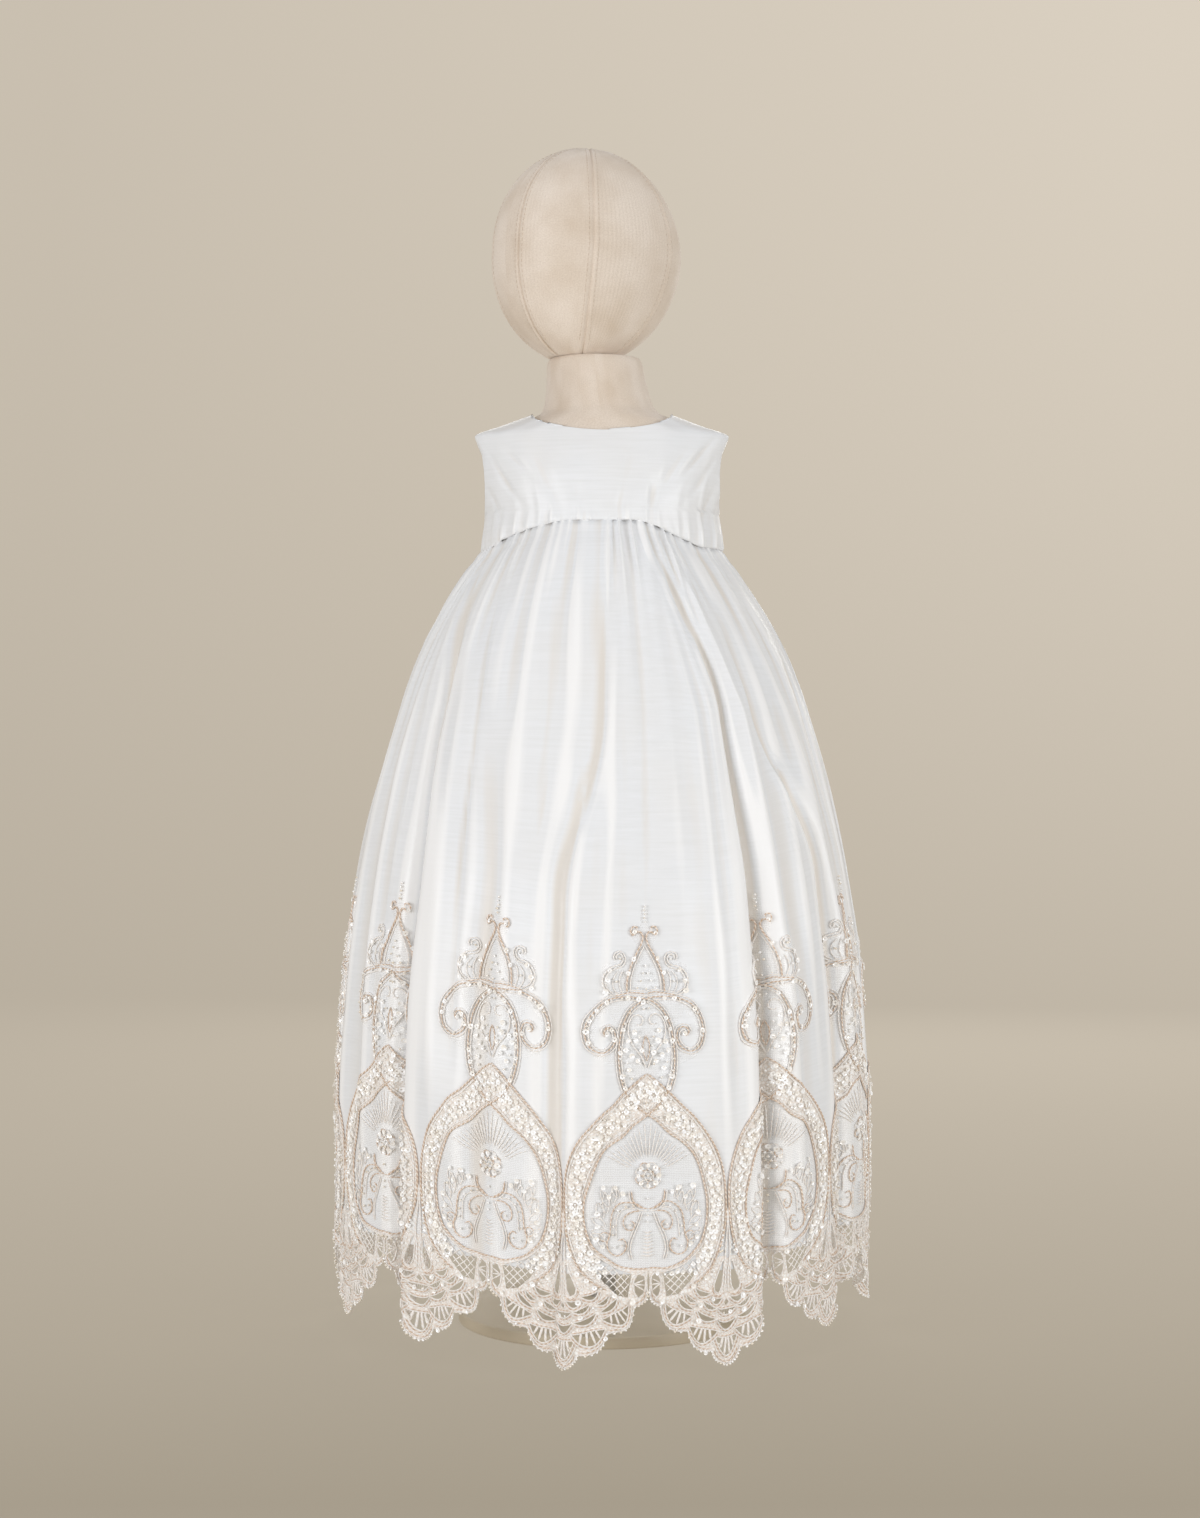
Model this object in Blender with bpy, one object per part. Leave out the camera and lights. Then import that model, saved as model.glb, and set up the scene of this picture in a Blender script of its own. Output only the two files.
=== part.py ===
"""A sleeveless christening gown on a limbless dress form.

The gown is an empire bodice (front and two back halves), two gathered A-line skirt panels
and a lace border in twelve repeats that hangs past the skirt's hem in points. The form is a
torso with its neck, a plain head, a pole and a round foot.

All tables are in millimetres and degrees; MM turns millimetres into metres. Angles run round
the gown from its centre front (0, the -Y side) to the wearer's left (+90, the +X side).
"""
import math
from collections import namedtuple

import bpy
import numpy as np
from mathutils import Vector
from mathutils.geometry import delaunay_2d_cdt

MM = 0.001

# ---- driving sizes ------------------------------------------------------------------------
CLOTH = 1.2                 # wall of the bodice and the skirt
LACE = 1.0                  # wall of the lace border
SEAM = 0.3                  # gap between neighbouring pieces
WAIST_SEAM = 0.6            # gap at the waist, whose two edges have different columns
FLOOR_CLEARANCE = 4.0       # lowest lace point above the floor
HEM_HEIGHT = 70.0           # straight hem of the skirt above the floor
LACE_TOP_ROW = 330.0        # top of the straight-sided zone that carries the lace
SIDE_WAIST = 588.7          # waist seam at the side seams
REPEATS = 12                # lace repeats round the hem
REPEAT_WIDTH = 118.0        # width that the lace repeat is drawn for
MOTIF_ANGLE = 9.0           # angle of the motif nearest the centre front
SIDE_SEAM = 90.0
PANEL_SPACING = 34.0        # widest column of a smooth skirt panel, at the hem

# ---- the skirt ----------------------------------------------------------------------------
# Sections of the skirt: height at the side, half width and half depth, and how far the
# gathers stand in and out of the section there.
Section = namedtuple("Section", "height half_width half_depth gather")
SKIRT_SECTIONS = (
    Section(SIDE_WAIST, 92.6, 66.0, 0.3),
    Section(582.5, 95.5, 70.0, 1.1),
    Section(574.0, 102.0, 77.5, 1.7),
    Section(562.0, 110.0, 86.5, 1.7),
    Section(545.0, 120.5, 97.0, 1.2),
    Section(522.0, 132.8, 108.5, 0.6),
    Section(491.0, 145.9, 123.0, 0.2),
    Section(450.0, 158.5, 138.0, 0.0),
    Section(395.0, 172.5, 154.0, 0.0),
    Section(LACE_TOP_ROW, 186.0, 170.9, 0.0),
    Section(238.0, 198.2, 182.1, 0.0),
    Section(137.0, 203.5, 187.0, 0.0),
    Section(HEM_HEIGHT, 203.5, 187.0, 0.0),
)
# The lace alone goes on below the hem, to the floor clearance.
LACE_FOOT = Section(FLOOR_CLEARANCE, 202.5, 186.1, 0.0)
HEM_WIDTH = 203.5
HEM_DEPTH = 187.0

# Folds, by their angle at the hem, halfway up and at the waist; depth inwards at the hem
# (negative stands out), half the width of the cloth's dip there, and the height where it ends.
Fold = namedtuple("Fold", "hem mid waist depth reach top")
FOLDS = (
    Fold(-158.0, -156.0, -160.0, 19.0, 13.0, 560.0),
    Fold(-132.0, -134.0, -137.0, 14.0, 15.0, 500.0),
    Fold(-107.0, -109.0, -112.0, 17.0, 12.5, 575.0),
    Fold(-79.0, -80.0, -86.0, 9.0, 13.0, 520.0),
    Fold(-46.0, -49.0, -57.0, 19.0, 11.5, 580.0),
    Fold(-26.0, -31.0, -34.0, 4.0, 17.0, 480.0),
    Fold(-9.5, -0.5, 2.0, 7.0, 15.0, 590.0),
    Fold(36.5, 35.0, 22.0, 18.0, 12.0, 590.0),
    Fold(60.5, 45.0, 37.0, 10.0, 14.0, 520.0),
    Fold(81.0, 79.0, 76.0, 11.0, 12.0, 560.0),
    Fold(105.0, 104.0, 101.0, 15.0, 14.0, 500.0),
    Fold(129.0, 131.0, 134.0, 18.0, 13.0, 575.0),
    Fold(153.0, 153.0, 154.0, 13.0, 15.0, 480.0),
    Fold(176.0, 176.0, 177.0, 17.0, 13.0, 560.0),
)
DEEP_FOLD = 8.5             # folds deeper than this get columns on their walls too

# How far the hem rises above its lowest line, by angle.
LIFT_ANGLES = (-180.0, -95.0, -65.0, -35.0, -8.0, 27.0, 55.0, 85.0, 130.0, 180.0)
LIFT_HEIGHTS = (4.0, 12.0, 16.0, 11.0, 0.0, 0.0, 16.0, 17.0, 7.0, 4.0)
LIFT_FADES_AT = 540.0

# The empire seam arches up at the front: height above the side waist, by angle.
ARCH_ANGLES = (-180.0, -72.0, -63.0, -54.0, -36.0, -18.0, 18.0, 27.0, 36.0, 45.0, 54.0, 180.0)
ARCH_HEIGHTS = (1.0, 0.0, 2.5, 6.5, 14.0, 19.3, 19.3, 15.0, 8.5, 2.5, 0.5, 1.0)

# ---- the bodice ---------------------------------------------------------------------------
# Sections of the bodice's outside, up to the shoulder line, which is their widest point.
Level = namedtuple("Level", "height half_width half_depth")
BODICE_LEVELS = (
    Level(585.0, 92.8, 66.0),
    Level(599.0, 92.4, 66.4),
    Level(614.0, 90.4, 66.4),
    Level(629.0, 89.4, 66.0),
    Level(645.0, 89.4, 64.6),
    Level(660.0, 91.0, 60.6),
    Level(669.0, 94.6, 56.6),
    Level(676.0, 97.0, 53.0),
    Level(685.0, 76.0, 49.2),
    Level(694.0, 53.0, 45.0),
)
UNDERARM = 616.0            # foot of the armhole
SHOULDER_TIP = 676.0
NECK_POINT = 694.0          # shoulder seam at the neck
NECK_FRONT = 677.0
NECK_BACK = 687.0
ARMHOLE_ANGLE = 24.5        # how far the armhole reaches forward and back of the side
SHOULDER_SHARE = 0.62       # share of the half front taken by the neckline
FRONT_COLUMNS = 20
BODICE_ROWS_BELOW = 3
BODICE_SHARPEST = 0.9       # least cosine for lengthened normals at the shoulder tips
BODICE_ROWS_ABOVE = 7

# ---- the dress form -----------------------------------------------------------------------
FORM_EASE = 1.1             # form to the inside of the cloth at the shoulders
FORM_SEGMENTS = 30
FORM_SHOULDER_LIMIT = 85.0  # half width of the form's shoulders, inside the armholes
Ring = namedtuple("Ring", "height half_width half_depth shift")
FORM_BODY = (
    Ring(500.0, 34.0, 25.0, 0.0),
    Ring(503.0, 58.0, 43.0, 0.0),
    Ring(512.0, 75.0, 55.0, 0.0),
    Ring(530.0, 84.0, 60.0, 0.0),
    Ring(560.0, 87.0, 61.0, 0.0),
    Ring(590.0, 87.5, 61.0, 0.0),
    Ring(616.0, 85.0, 61.5, 0.0),
    Ring(638.0, 84.6, 60.6, 0.0),
)
FORM_SHOULDER_HEIGHTS = (656.0, 665.0, 672.0, 678.0, 684.0, 689.5)
FORM_NECK = (
    Ring(693.4, 48.6, 42.6, -1.0),
    Ring(698.0, 43.6, 40.2, -2.0),
    Ring(706.0, 40.6, 38.2, -3.0),
    Ring(720.0, 38.0, 36.4, -4.5),
    Ring(733.0, 36.6, 35.2, -5.5),
    Ring(737.0, 34.6, 33.4, -5.5),
)
HEAD_CENTRE = (-11.0, 0.0, 815.5)
HEAD_SEMI_AXES = (80.0, 60.0, 83.0)     # along the face, across it, upwards
HEAD_TURN = 50.0            # the face looks this far to the wearer's right of the front
HEAD_CHIN_LEAN = 0.10       # forward shift of the chin for each millimetre below the centre
HEAD_SEGMENTS = 24
HEAD_RINGS = 13
POLE_RADIUS = 11.0
BASE_RADIUS = 110.0
BASE_THICKNESS = 9.0
BASE_EDGE = 2.0
ROUND_SEGMENTS = 32

# ---- back buttons -------------------------------------------------------------------------
BUTTON_HEIGHTS = (603.0, 638.0, 675.0)
BUTTON_RADIUS = 4.6
BUTTON_DOME = 2.4
BUTTON_ANGLE = 175.0
BUTTON_SEGMENTS = 12
BUTTON_RINGS = ((1.0, 0.0), (1.0, 0.35), (0.8, 0.8), (0.3, 1.0))    # share of radius, of dome


# ---- small helpers ------------------------------------------------------------------------
def smooth(value):
    """0 below 0, 1 above 1, and an S-curve between."""
    value = np.clip(value, 0.0, 1.0)
    return value * value * (3.0 - 2.0 * value)


def column(table, name):
    return np.array([getattr(row, name) for row in table])


def read_section(table, name, height):
    """A table's column, read at a height between its rows."""
    heights = column(table, "height")
    order = np.argsort(heights)
    return np.interp(height, heights[order], column(table, name)[order])


def arch(angle):
    return np.interp(angle, ARCH_ANGLES, ARCH_HEIGHTS, period=360.0)


def lift(angle):
    return np.interp(angle, LIFT_ANGLES, LIFT_HEIGHTS, period=360.0)


def unit(vectors):
    return vectors / np.linalg.norm(vectors, axis=-1, keepdims=True)


def new_material(name, colour, roughness, metallic=0.0):
    material = bpy.data.materials.new(name)
    material.use_nodes = True
    shader = material.node_tree.nodes["Principled BSDF"]
    shader.inputs["Base Color"].default_value = (*colour, 1.0)
    shader.inputs["Roughness"].default_value = roughness
    shader.inputs["Metallic"].default_value = metallic
    material.diffuse_color = (*colour, 1.0)
    return material


def new_solid(name, points, faces, material):
    """A named object from points in millimetres."""
    mesh = bpy.data.meshes.new(name)
    mesh.from_pydata([tuple(float(c) * MM for c in p) for p in points], [], faces)
    mesh.validate()
    mesh.materials.append(material)
    solid = bpy.data.objects.new(name, mesh)
    bpy.context.scene.collection.objects.link(solid)
    return solid


# ---- grids and walls ----------------------------------------------------------------------
def grid_normals(grid, closed=False, sharpest=0.5):
    """Outward normals at a grid's points, lengthened so that offset faces keep their distance.

    The grid is [row, column, xyz], with rows from the top down and columns from the wearer's
    right to left, seen from the front, so that the normals point away from the body. The
    lengthening ends where the cosine of a face's angle to the normal falls to sharpest.
    """
    rows, columns = grid.shape[:2]
    after = np.roll(grid, -1, axis=1) if closed else grid[:, 1:]
    here = grid if closed else grid[:, :-1]
    across = (after[:-1] - here[:-1]) + (after[1:] - here[1:])
    down = (here[1:] - here[:-1]) + (after[1:] - after[:-1])
    faces = unit(np.cross(down, across))
    neighbours = [[[] for _ in range(columns)] for _ in range(rows)]
    for row in range(faces.shape[0]):
        for col in range(faces.shape[1]):
            normal = faces[row, col]
            for r in (row, row + 1):
                for c in (col, (col + 1) % columns):
                    neighbours[r][c].append(normal)
    normals = np.zeros_like(grid)
    for row in range(rows):
        for col in range(columns):
            around = np.array(neighbours[row][col])
            mean = unit(around.sum(axis=0))
            normals[row, col] = mean / max(sharpest, float((around @ mean).min()))
    return normals


def wall_from_grid(name, outer, normals, thickness, material, mirror_from=None):
    """A closed sheet of cloth: the grid outside, the same grid moved in, and its edges.

    From column mirror_from on, the cells are split along their other diagonal, so that a
    symmetric piece has symmetric facets.
    """
    rows, columns = outer.shape[:2]
    inner = outer - normals * thickness
    points = np.concatenate([outer.reshape(-1, 3), inner.reshape(-1, 3)])
    inside = rows * columns
    faces = []
    for row in range(rows - 1):
        for col in range(columns - 1):
            a = row * columns + col
            b, c, d = a + 1, a + columns + 1, a + columns
            if mirror_from is not None and col >= mirror_from:
                a, b, c, d = b, c, d, a
            for one, two, three in ((a, d, c), (a, c, b)):
                faces.append((one, two, three))
                faces.append((three + inside, two + inside, one + inside))
    rim = [c for c in range(columns)]
    rim += [r * columns + columns - 1 for r in range(1, rows)]
    rim += [(rows - 1) * columns + c for c in range(columns - 2, -1, -1)]
    rim += [r * columns for r in range(rows - 2, 0, -1)]
    for here, after in zip(rim, rim[1:] + rim[:1]):
        faces.append((here, after, after + inside, here + inside))
    return new_solid(name, points, faces, material)


# ---- the skirt's surface ------------------------------------------------------------------
def fold_angle(fold):
    """Half width of a fold, in degrees at the hem."""
    return math.degrees(fold.reach / (0.5 * (HEM_WIDTH + HEM_DEPTH)))


def hem_columns():
    """Angles of the skirt's columns at the hem: on the folds, then evenly between them.

    They rise all the way round, past 180 degrees for the last ones.
    """
    marks = [(-SIDE_SEAM, -SIDE_SEAM, ()), (SIDE_SEAM, SIDE_SEAM, ())]
    for fold in FOLDS:
        half = fold_angle(fold)
        inner = (-0.5, 0.0, 0.5) if fold.depth > DEEP_FOLD else (0.0,)
        marks.append((fold.hem - half, fold.hem + half, [fold.hem + half * s for s in inner]))
    marks.sort()
    radius = 0.5 * (HEM_WIDTH + HEM_DEPTH)
    angles = []
    for here, after in zip(marks, marks[1:] + marks[:1]):
        start, end = here[1], after[0] if after is not marks[0] else after[0] + 360.0
        angles += [here[0], *here[2]] + ([here[1]] if here[1] > here[0] else [])
        pieces = math.ceil(math.radians(end - start) * radius / PANEL_SPACING)
        angles += [start + (end - start) * i / pieces for i in range(1, pieces)]
    return np.array(angles)


def waist_angles(hem):
    """Angles of the same columns at the waist: even between the folds, so gathers are even."""
    index = np.arange(len(hem), dtype=float)
    centres = [(fold.hem, fold.waist) for fold in FOLDS]
    centres += [(-SIDE_SEAM, -SIDE_SEAM), (SIDE_SEAM, SIDE_SEAM)]
    centres.sort()
    at = np.interp([c[0] for c in centres], hem, index)
    return periodic(index, at, np.array([c[1] for c in centres]), len(hem))


def periodic(x, x_marks, angles, period):
    """Angles that run on past a full turn, read between marks that repeat."""
    x_all = np.concatenate([x_marks - period, x_marks, x_marks + period])
    angle_all = np.concatenate([angles - 360.0, angles, angles + 360.0])
    return np.interp(x, x_all, angle_all)


def skirt_rows(hem, waist, sections):
    """The skirt's surface as a closed grid of points, one row for each section."""
    mid = periodic(hem, column(FOLDS, "hem"), column(FOLDS, "mid"), 360.0)
    pleat_sign = np.where(np.arange(len(hem)) % 2 == 0, 1.0, -1.0)
    pleat = pleat_sign * (0.8 + 0.35 * np.sin(0.9 * np.arange(len(hem))))
    rise_mid = 0.5 * (LACE_TOP_ROW + SIDE_WAIST)
    rows = []
    for section in sections:
        height = section.height
        if height >= rise_mid:
            share = smooth((height - rise_mid) / (SIDE_WAIST - rise_mid))
            angle = mid + (waist - mid) * share
        else:
            share = smooth((height - LACE_TOP_ROW) / (rise_mid - LACE_TOP_ROW))
            angle = hem + (mid - hem) * share
        scale = section.half_width / HEM_WIDTH
        inwards = np.zeros(len(hem))
        for fold in FOLDS:
            away = (hem - fold.hem + 180.0) % 360.0 - 180.0
            dip = 0.5 + 0.5 * np.cos(np.pi * np.clip(away / fold_angle(fold), -1.0, 1.0))
            fade = np.clip((fold.top - height) / (fold.top - LACE_TOP_ROW), 0.0, 1.0) ** 0.8
            inwards += fold.depth * dip * fade * scale
        inwards -= section.gather * pleat
        turn = np.radians(angle)
        normal = unit(np.stack([np.sin(turn) / section.half_width,
                                -np.cos(turn) / section.half_depth], axis=1))
        x = section.half_width * np.sin(turn) - normal[:, 0] * inwards
        y = -section.half_depth * np.cos(turn) - normal[:, 1] * inwards
        arch_share = np.clip((height - LACE_TOP_ROW) / (SIDE_WAIST - LACE_TOP_ROW), 0, 1) ** 1.5
        lift_share = 1.0 - smooth((height - LACE_TOP_ROW) / (LIFT_FADES_AT - LACE_TOP_ROW))
        z = height + arch(angle) * arch_share + lift(hem) * lift_share
        rows.append(np.stack([x, y, z], axis=1))
    return np.array(rows)


def cut_panel(grid, first, last):
    """The grid's columns from first to last, with half a seam taken off both ends."""
    count = grid.shape[1]
    picks = [first]
    while picks[-1] != last:
        picks.append((picks[-1] + 1) % count)
    panel = grid[:, picks].copy()
    panel[:, 0] += unit(panel[:, 1] - panel[:, 0]) * SEAM / 2
    panel[:, -1] += unit(panel[:, -2] - panel[:, -1]) * SEAM / 2
    return panel, picks


def build_skirt(hem, grid, silk):
    grid = grid.copy()
    grid[0, :, 2] -= WAIST_SEAM / 2
    normals = grid_normals(grid, closed=True)
    right = int(np.argmin(abs(hem + SIDE_SEAM)))
    left = int(np.argmin(abs(hem - SIDE_SEAM)))
    for name, first, last in (("skirt_front", right, left), ("skirt_back", left, right)):
        panel, picks = cut_panel(grid, first, last)
        wall_from_grid(name, panel, normals[:, picks], CLOTH, silk)


# ---- the lace border ----------------------------------------------------------------------
# One repeat, drawn flat: x from its centre line, y from the lowest point of the border. Each
# outline is the right half, from the top down, and its left half is its mirror image.
FINIAL_AND_ARCH = (
    (0.0, 322.0), (3.0, 319.0), (3.0, 308.0), (10.5, 301.0), (5.0, 294.0),
    (12.5, 281.0), (13.0, 270.0), (21.0, 284.0), (31.5, 281.0), (33.0, 268.0), (26.0, 256.5),
    (39.0, 249.0), (43.0, 233.0), (37.0, 217.0), (25.0, 211.5), (20.5, 214.0), (18.5, 200.0),
    (15.5, 193.5), (36.0, 174.5), (51.5, 152.5), (57.0, 131.0),
)
ARCH_FOOT = (59.0, 119.0)   # where neighbouring repeats meet
# The scalloped lower edge, from the point between two repeats (0) to the notch under a
# medallion (half a repeat away): end, sag of the lobe below its chord.
Lobe = namedtuple("Lobe", "end_x end_y sag")
LOBES = (
    Lobe(11.5, 10.0, 5.0),
    Lobe(30.0, 24.5, 6.0),
    Lobe(50.0, 43.0, 6.5),
)
NOTCH = (59.0, 55.0)        # the notch under a medallion
LOBE_STEPS = 2
# Gaps that are cut through, given for the right half of a repeat.
SCROLL_GAP = ((21.5, 222.0), (22.5, 240.0), (29.0, 249.0), (36.5, 242.0), (37.5, 228.0), (31.0, 217.0))
CROWN_GAP = ((16.5, 266.0), (21.5, 277.5), (28.0, 275.5), (27.0, 264.0))
TEARDROP_GAP = ((54.5, 50.5), (51.3, 55.0), (53.0, 66.0), (55.4, 72.5), (56.6, 62.0))
CRESCENT_GAPS = (
    ((36.5, 47.0), (41.5, 51.8), (49.0, 49.5), (43.5, 47.2)),
    ((20.5, 41.5), (26.0, 47.0), (32.5, 44.5), (27.0, 41.0)),
    ((44.5, 27.0), (50.5, 32.5), (56.5, 30.5), (51.0, 26.8)),
)


def lobe_points(start, lobe):
    """Points along one scallop, as a shallow arc that sags below its chord."""
    start, end = np.array(start), np.array((lobe.end_x, lobe.end_y))
    chord = end - start
    out = np.array((chord[1], -chord[0])) / np.linalg.norm(chord)
    steps = [(i + 1) / LOBE_STEPS for i in range(LOBE_STEPS)]
    return [tuple(start + chord * s + out * lobe.sag * 4 * s * (1 - s)) for s in steps]


def lower_edge():
    """The scalloped edge from the lowest point to the notch, with x from the lowest point."""
    points = [(0.0, 0.0)]
    first = LOBES[0]
    points += [(first.end_x * 0.62, first.end_y * 0.12), (first.end_x, first.end_y)]
    for lobe in LOBES[1:]:
        points += lobe_points(points[-1], lobe)
    return points + [NOTCH]


def border_outline(centres):
    """Closed outline of a run of repeats, given their centres along the hem."""
    half = REPEAT_WIDTH / 2
    gap = SEAM / 2
    upper, lower = [], []
    for number, centre in enumerate(centres):
        right = [(centre + x, y) for x, y in FINIAL_AND_ARCH]
        left = [(centre - x, y) for x, y in reversed(FINIAL_AND_ARCH[1:])]
        upper += left + right
        if number < len(centres) - 1:
            upper.append((centre + half, ARCH_FOOT[1]))
        edge = lower_edge()
        start = centre - half
        lower += [(start + x, y) for x, y in edge[1 if number else 0:]]
        lower += [(centre + half - x, y) for x, y in reversed(edge[:-1])]
    left_end, right_end = centres[0] - half, centres[-1] + half
    lower[0] = (left_end + gap, 0.4)
    lower[-1] = (right_end - gap, 0.4)
    return lower + [(right_end - gap, ARCH_FOOT[1])] + upper[::-1] + [(left_end + gap, ARCH_FOOT[1])]


def border_gaps(centres):
    right_half = (SCROLL_GAP, CROWN_GAP, TEARDROP_GAP, *CRESCENT_GAPS)
    gaps = []
    for centre in centres:
        for gap in right_half:
            gaps.append([(centre + x, y) for x, y in gap])
            gaps.append([(centre - x, y) for x, y in reversed(gap)])
    return gaps


def counterclockwise(loop):
    """The same loop of flat points, turned to run counterclockwise."""
    area = sum(a[0] * b[1] - b[0] * a[1] for a, b in zip(loop, loop[1:] + loop[:1]))
    return loop if area > 0 else loop[::-1]


def flat_triangles(outline, gaps, columns, rows):
    """Triangles of the outline less its gaps, cut along the skirt's columns and rows."""
    points, edges, faces = [], [], []
    for loop in (counterclockwise(outline), *map(counterclockwise, gaps)):
        faces.append(list(range(len(points), len(points) + len(loop))))
        points += loop
    low, high = min(p[0] for p in outline) - 1, max(p[0] for p in outline) + 1
    for x in columns:
        if low < x < high:
            edges.append((len(points), len(points) + 1))
            points += [(x, -5.0), (x, 335.0)]
    for y in rows:
        edges.append((len(points), len(points) + 1))
        points += [(low, y), (high, y)]
    result = delaunay_2d_cdt([Vector(p) for p in points], edges, faces, 0, 0.02, True)
    triangles = [tri for tri, source in zip(result[2], result[5]) if list(source) == [0]]
    return np.array([tuple(p) for p in result[0]]), triangles


def place_on_grid(flat, stations, heights, grid):
    """Where flat points come to lie on a grid whose columns stand at the given stations."""
    col = np.clip(np.searchsorted(stations, flat[:, 0], side="right") - 1, 0, len(stations) - 2)
    row = np.clip(np.searchsorted(-heights, -flat[:, 1], side="right") - 1, 0, len(heights) - 2)
    across = (flat[:, 0] - stations[col]) / (stations[col + 1] - stations[col])
    down = (heights[row] - flat[:, 1]) / (heights[row] - heights[row + 1])
    across, down = across[:, None], down[:, None]
    upper = grid[row, col] * (1 - across) + grid[row, col + 1] * across
    lower = grid[row + 1, col] * (1 - across) + grid[row + 1, col + 1] * across
    return upper * (1 - down) + lower * down


def build_lace_run(name, centres, stations, heights, grid, normals, material):
    flat, triangles = flat_triangles(border_outline(centres), border_gaps(centres),
                                     stations, heights[1:-1])
    used = sorted({v for tri in triangles for v in tri})
    flat = flat[used]
    number = {old: new for new, old in enumerate(used)}
    triangles = [tuple(number[v] for v in tri) for tri in triangles]
    base = place_on_grid(flat, stations, heights, grid)
    out = place_on_grid(flat, stations, heights, normals)
    points = np.concatenate([base + out * (SEAM + LACE), base + out * SEAM])
    inside = len(flat)
    faces = list(triangles)
    faces += [tuple(v + inside for v in reversed(tri)) for tri in triangles]
    directed = {(a, b) for tri in triangles for a, b in zip(tri, tri[1:] + tri[:1])}
    faces += [(b, a, a + inside, b + inside) for a, b in directed if (b, a) not in directed]
    return new_solid(name, points, faces, material)


def build_lace(hem, waist, material):
    """The border in two runs of six repeats, on the lower skirt and past its hem."""
    sections = [s for s in SKIRT_SECTIONS if s.height <= LACE_TOP_ROW] + [LACE_FOOT]
    grid = skirt_rows(hem, waist, sections)
    normals = grid_normals(grid, closed=True)
    hem_line = grid[-2][:, :2]
    steps = np.linalg.norm(np.roll(hem_line, -1, axis=0) - hem_line, axis=1)
    girth = float(steps.sum())
    stretch = REPEATS * REPEAT_WIDTH / girth
    stations = np.concatenate([[0.0], np.cumsum(steps)]) * stretch
    start = np.interp(MOTIF_ANGLE, hem, stations[:-1])
    full = REPEATS * REPEAT_WIDTH
    laps = (-1, 0, 1)
    long_stations = np.concatenate([stations[:-1] + full * lap for lap in laps])
    long_grid = np.concatenate([grid] * len(laps), axis=1)
    long_normals = np.concatenate([normals] * len(laps), axis=1)
    heights = np.array([s.height - FLOOR_CLEARANCE for s in sections])
    runs = (("lace_front", range(-3, 3)), ("lace_back", range(3, 9)))
    for name, numbers in runs:
        centres = [start + REPEAT_WIDTH * n for n in numbers]
        build_lace_run(name, centres, long_stations, heights, long_grid, long_normals, material)
    return girth


# ---- the bodice ---------------------------------------------------------------------------
def bodice_point(angle, height):
    """A point of the bodice's outside; arrays of angles and heights give arrays of points."""
    turn = np.radians(angle)
    width = read_section(BODICE_LEVELS, "half_width", height)
    depth = read_section(BODICE_LEVELS, "half_depth", height)
    return np.stack([width * np.sin(turn), -depth * np.cos(turn), height + 0.0 * turn], axis=-1)


def neckline(angle):
    """Height of the neck edge, which dips at the centre front and less at the back."""
    rise = abs(np.sin(np.radians(angle))) ** 1.5
    lowest = np.where(abs(angle) <= 90.0, NECK_FRONT, NECK_BACK)
    return lowest + (NECK_POINT - lowest) * rise


def bodice_map(across, up):
    """Angle and height on one half round (front or back), for across -1..1 and up 0..1.

    It blends the underarm line, the neckline with the two shoulder seams, and the armholes.
    """
    armhole = ARMHOLE_ANGLE * np.sin(np.pi * up) ** 0.7
    edge_height = UNDERARM + (SHOULDER_TIP - UNDERARM) * up
    foot_angle = 90.0 * across
    on_shoulder = abs(across) > SHOULDER_SHARE
    top_angle = 90.0 * np.clip(across / SHOULDER_SHARE, -1.0, 1.0)
    along = (1.0 - abs(across)) / (1.0 - SHOULDER_SHARE)
    angle = foot_angle * (1 - up) + top_angle * up - armhole * across
    return angle, edge_height, on_shoulder, along, top_angle


def bodice_panel(back, first, last, columns):
    """Grid of a bodice piece from across=first to last, rows from the top down."""
    across = np.linspace(first, last, columns + 1)
    middle = 180.0 if back else 0.0
    rows = []
    for step in range(BODICE_ROWS_ABOVE + 1):
        up = math.sin(0.5 * math.pi * (1.0 - step / BODICE_ROWS_ABOVE))
        angle, edge_height, on_shoulder, along, top_angle = bodice_map(across, up)
        neck = neckline(top_angle + middle)
        shoulder = SHOULDER_TIP + (NECK_POINT - SHOULDER_TIP) * along
        top = np.where(on_shoulder, shoulder, neck)
        height = edge_height + (top - SHOULDER_TIP) * up
        rows.append(bodice_point(angle + middle, height))
    for step in range(1, BODICE_ROWS_BELOW + 1):
        share = step / BODICE_ROWS_BELOW
        angle = 90.0 * across + middle
        foot = SIDE_WAIST + arch(angle) + WAIST_SEAM / 2
        rows.append(bodice_point(angle, UNDERARM + (foot - UNDERARM) * share))
    return np.array(rows)


def square_to_seam(grid, normals, on_seam, axis, gap_side):
    """Pull seam points back by half a seam, with the cloth's edge square to the seam."""
    grid[on_seam, axis] += gap_side * SEAM / 2
    normals[on_seam, axis] = 0.0
    normals[on_seam] = unit(normals[on_seam])


def build_bodice_piece(name, back, first, last, columns, silk):
    """A front or back piece between two fractions of its half round, -1 to 1."""
    grid = bodice_panel(back, first, last, columns)
    normals = grid_normals(grid, sharpest=BODICE_SHARPEST)
    at_side = abs(grid[:, :, 1]) < 0.01
    square_to_seam(grid, normals, at_side, 1, 1.0 if back else -1.0)
    if back:
        at_centre = abs(grid[:, :, 0]) < 0.01
        square_to_seam(grid, normals, at_centre, 0, 1.0 if last == 0.0 else -1.0)
    middle = round(-first / (last - first) * columns)
    wall_from_grid(name, grid, normals, CLOTH, silk, mirror_from=middle)


def build_bodice(silk):
    half = FRONT_COLUMNS // 2
    build_bodice_piece("bodice_front", False, -1.0, 1.0, FRONT_COLUMNS, silk)
    build_bodice_piece("bodice_back_left", True, -1.0, 0.0, half, silk)
    build_bodice_piece("bodice_back_right", True, 0.0, 1.0, half, silk)


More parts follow.
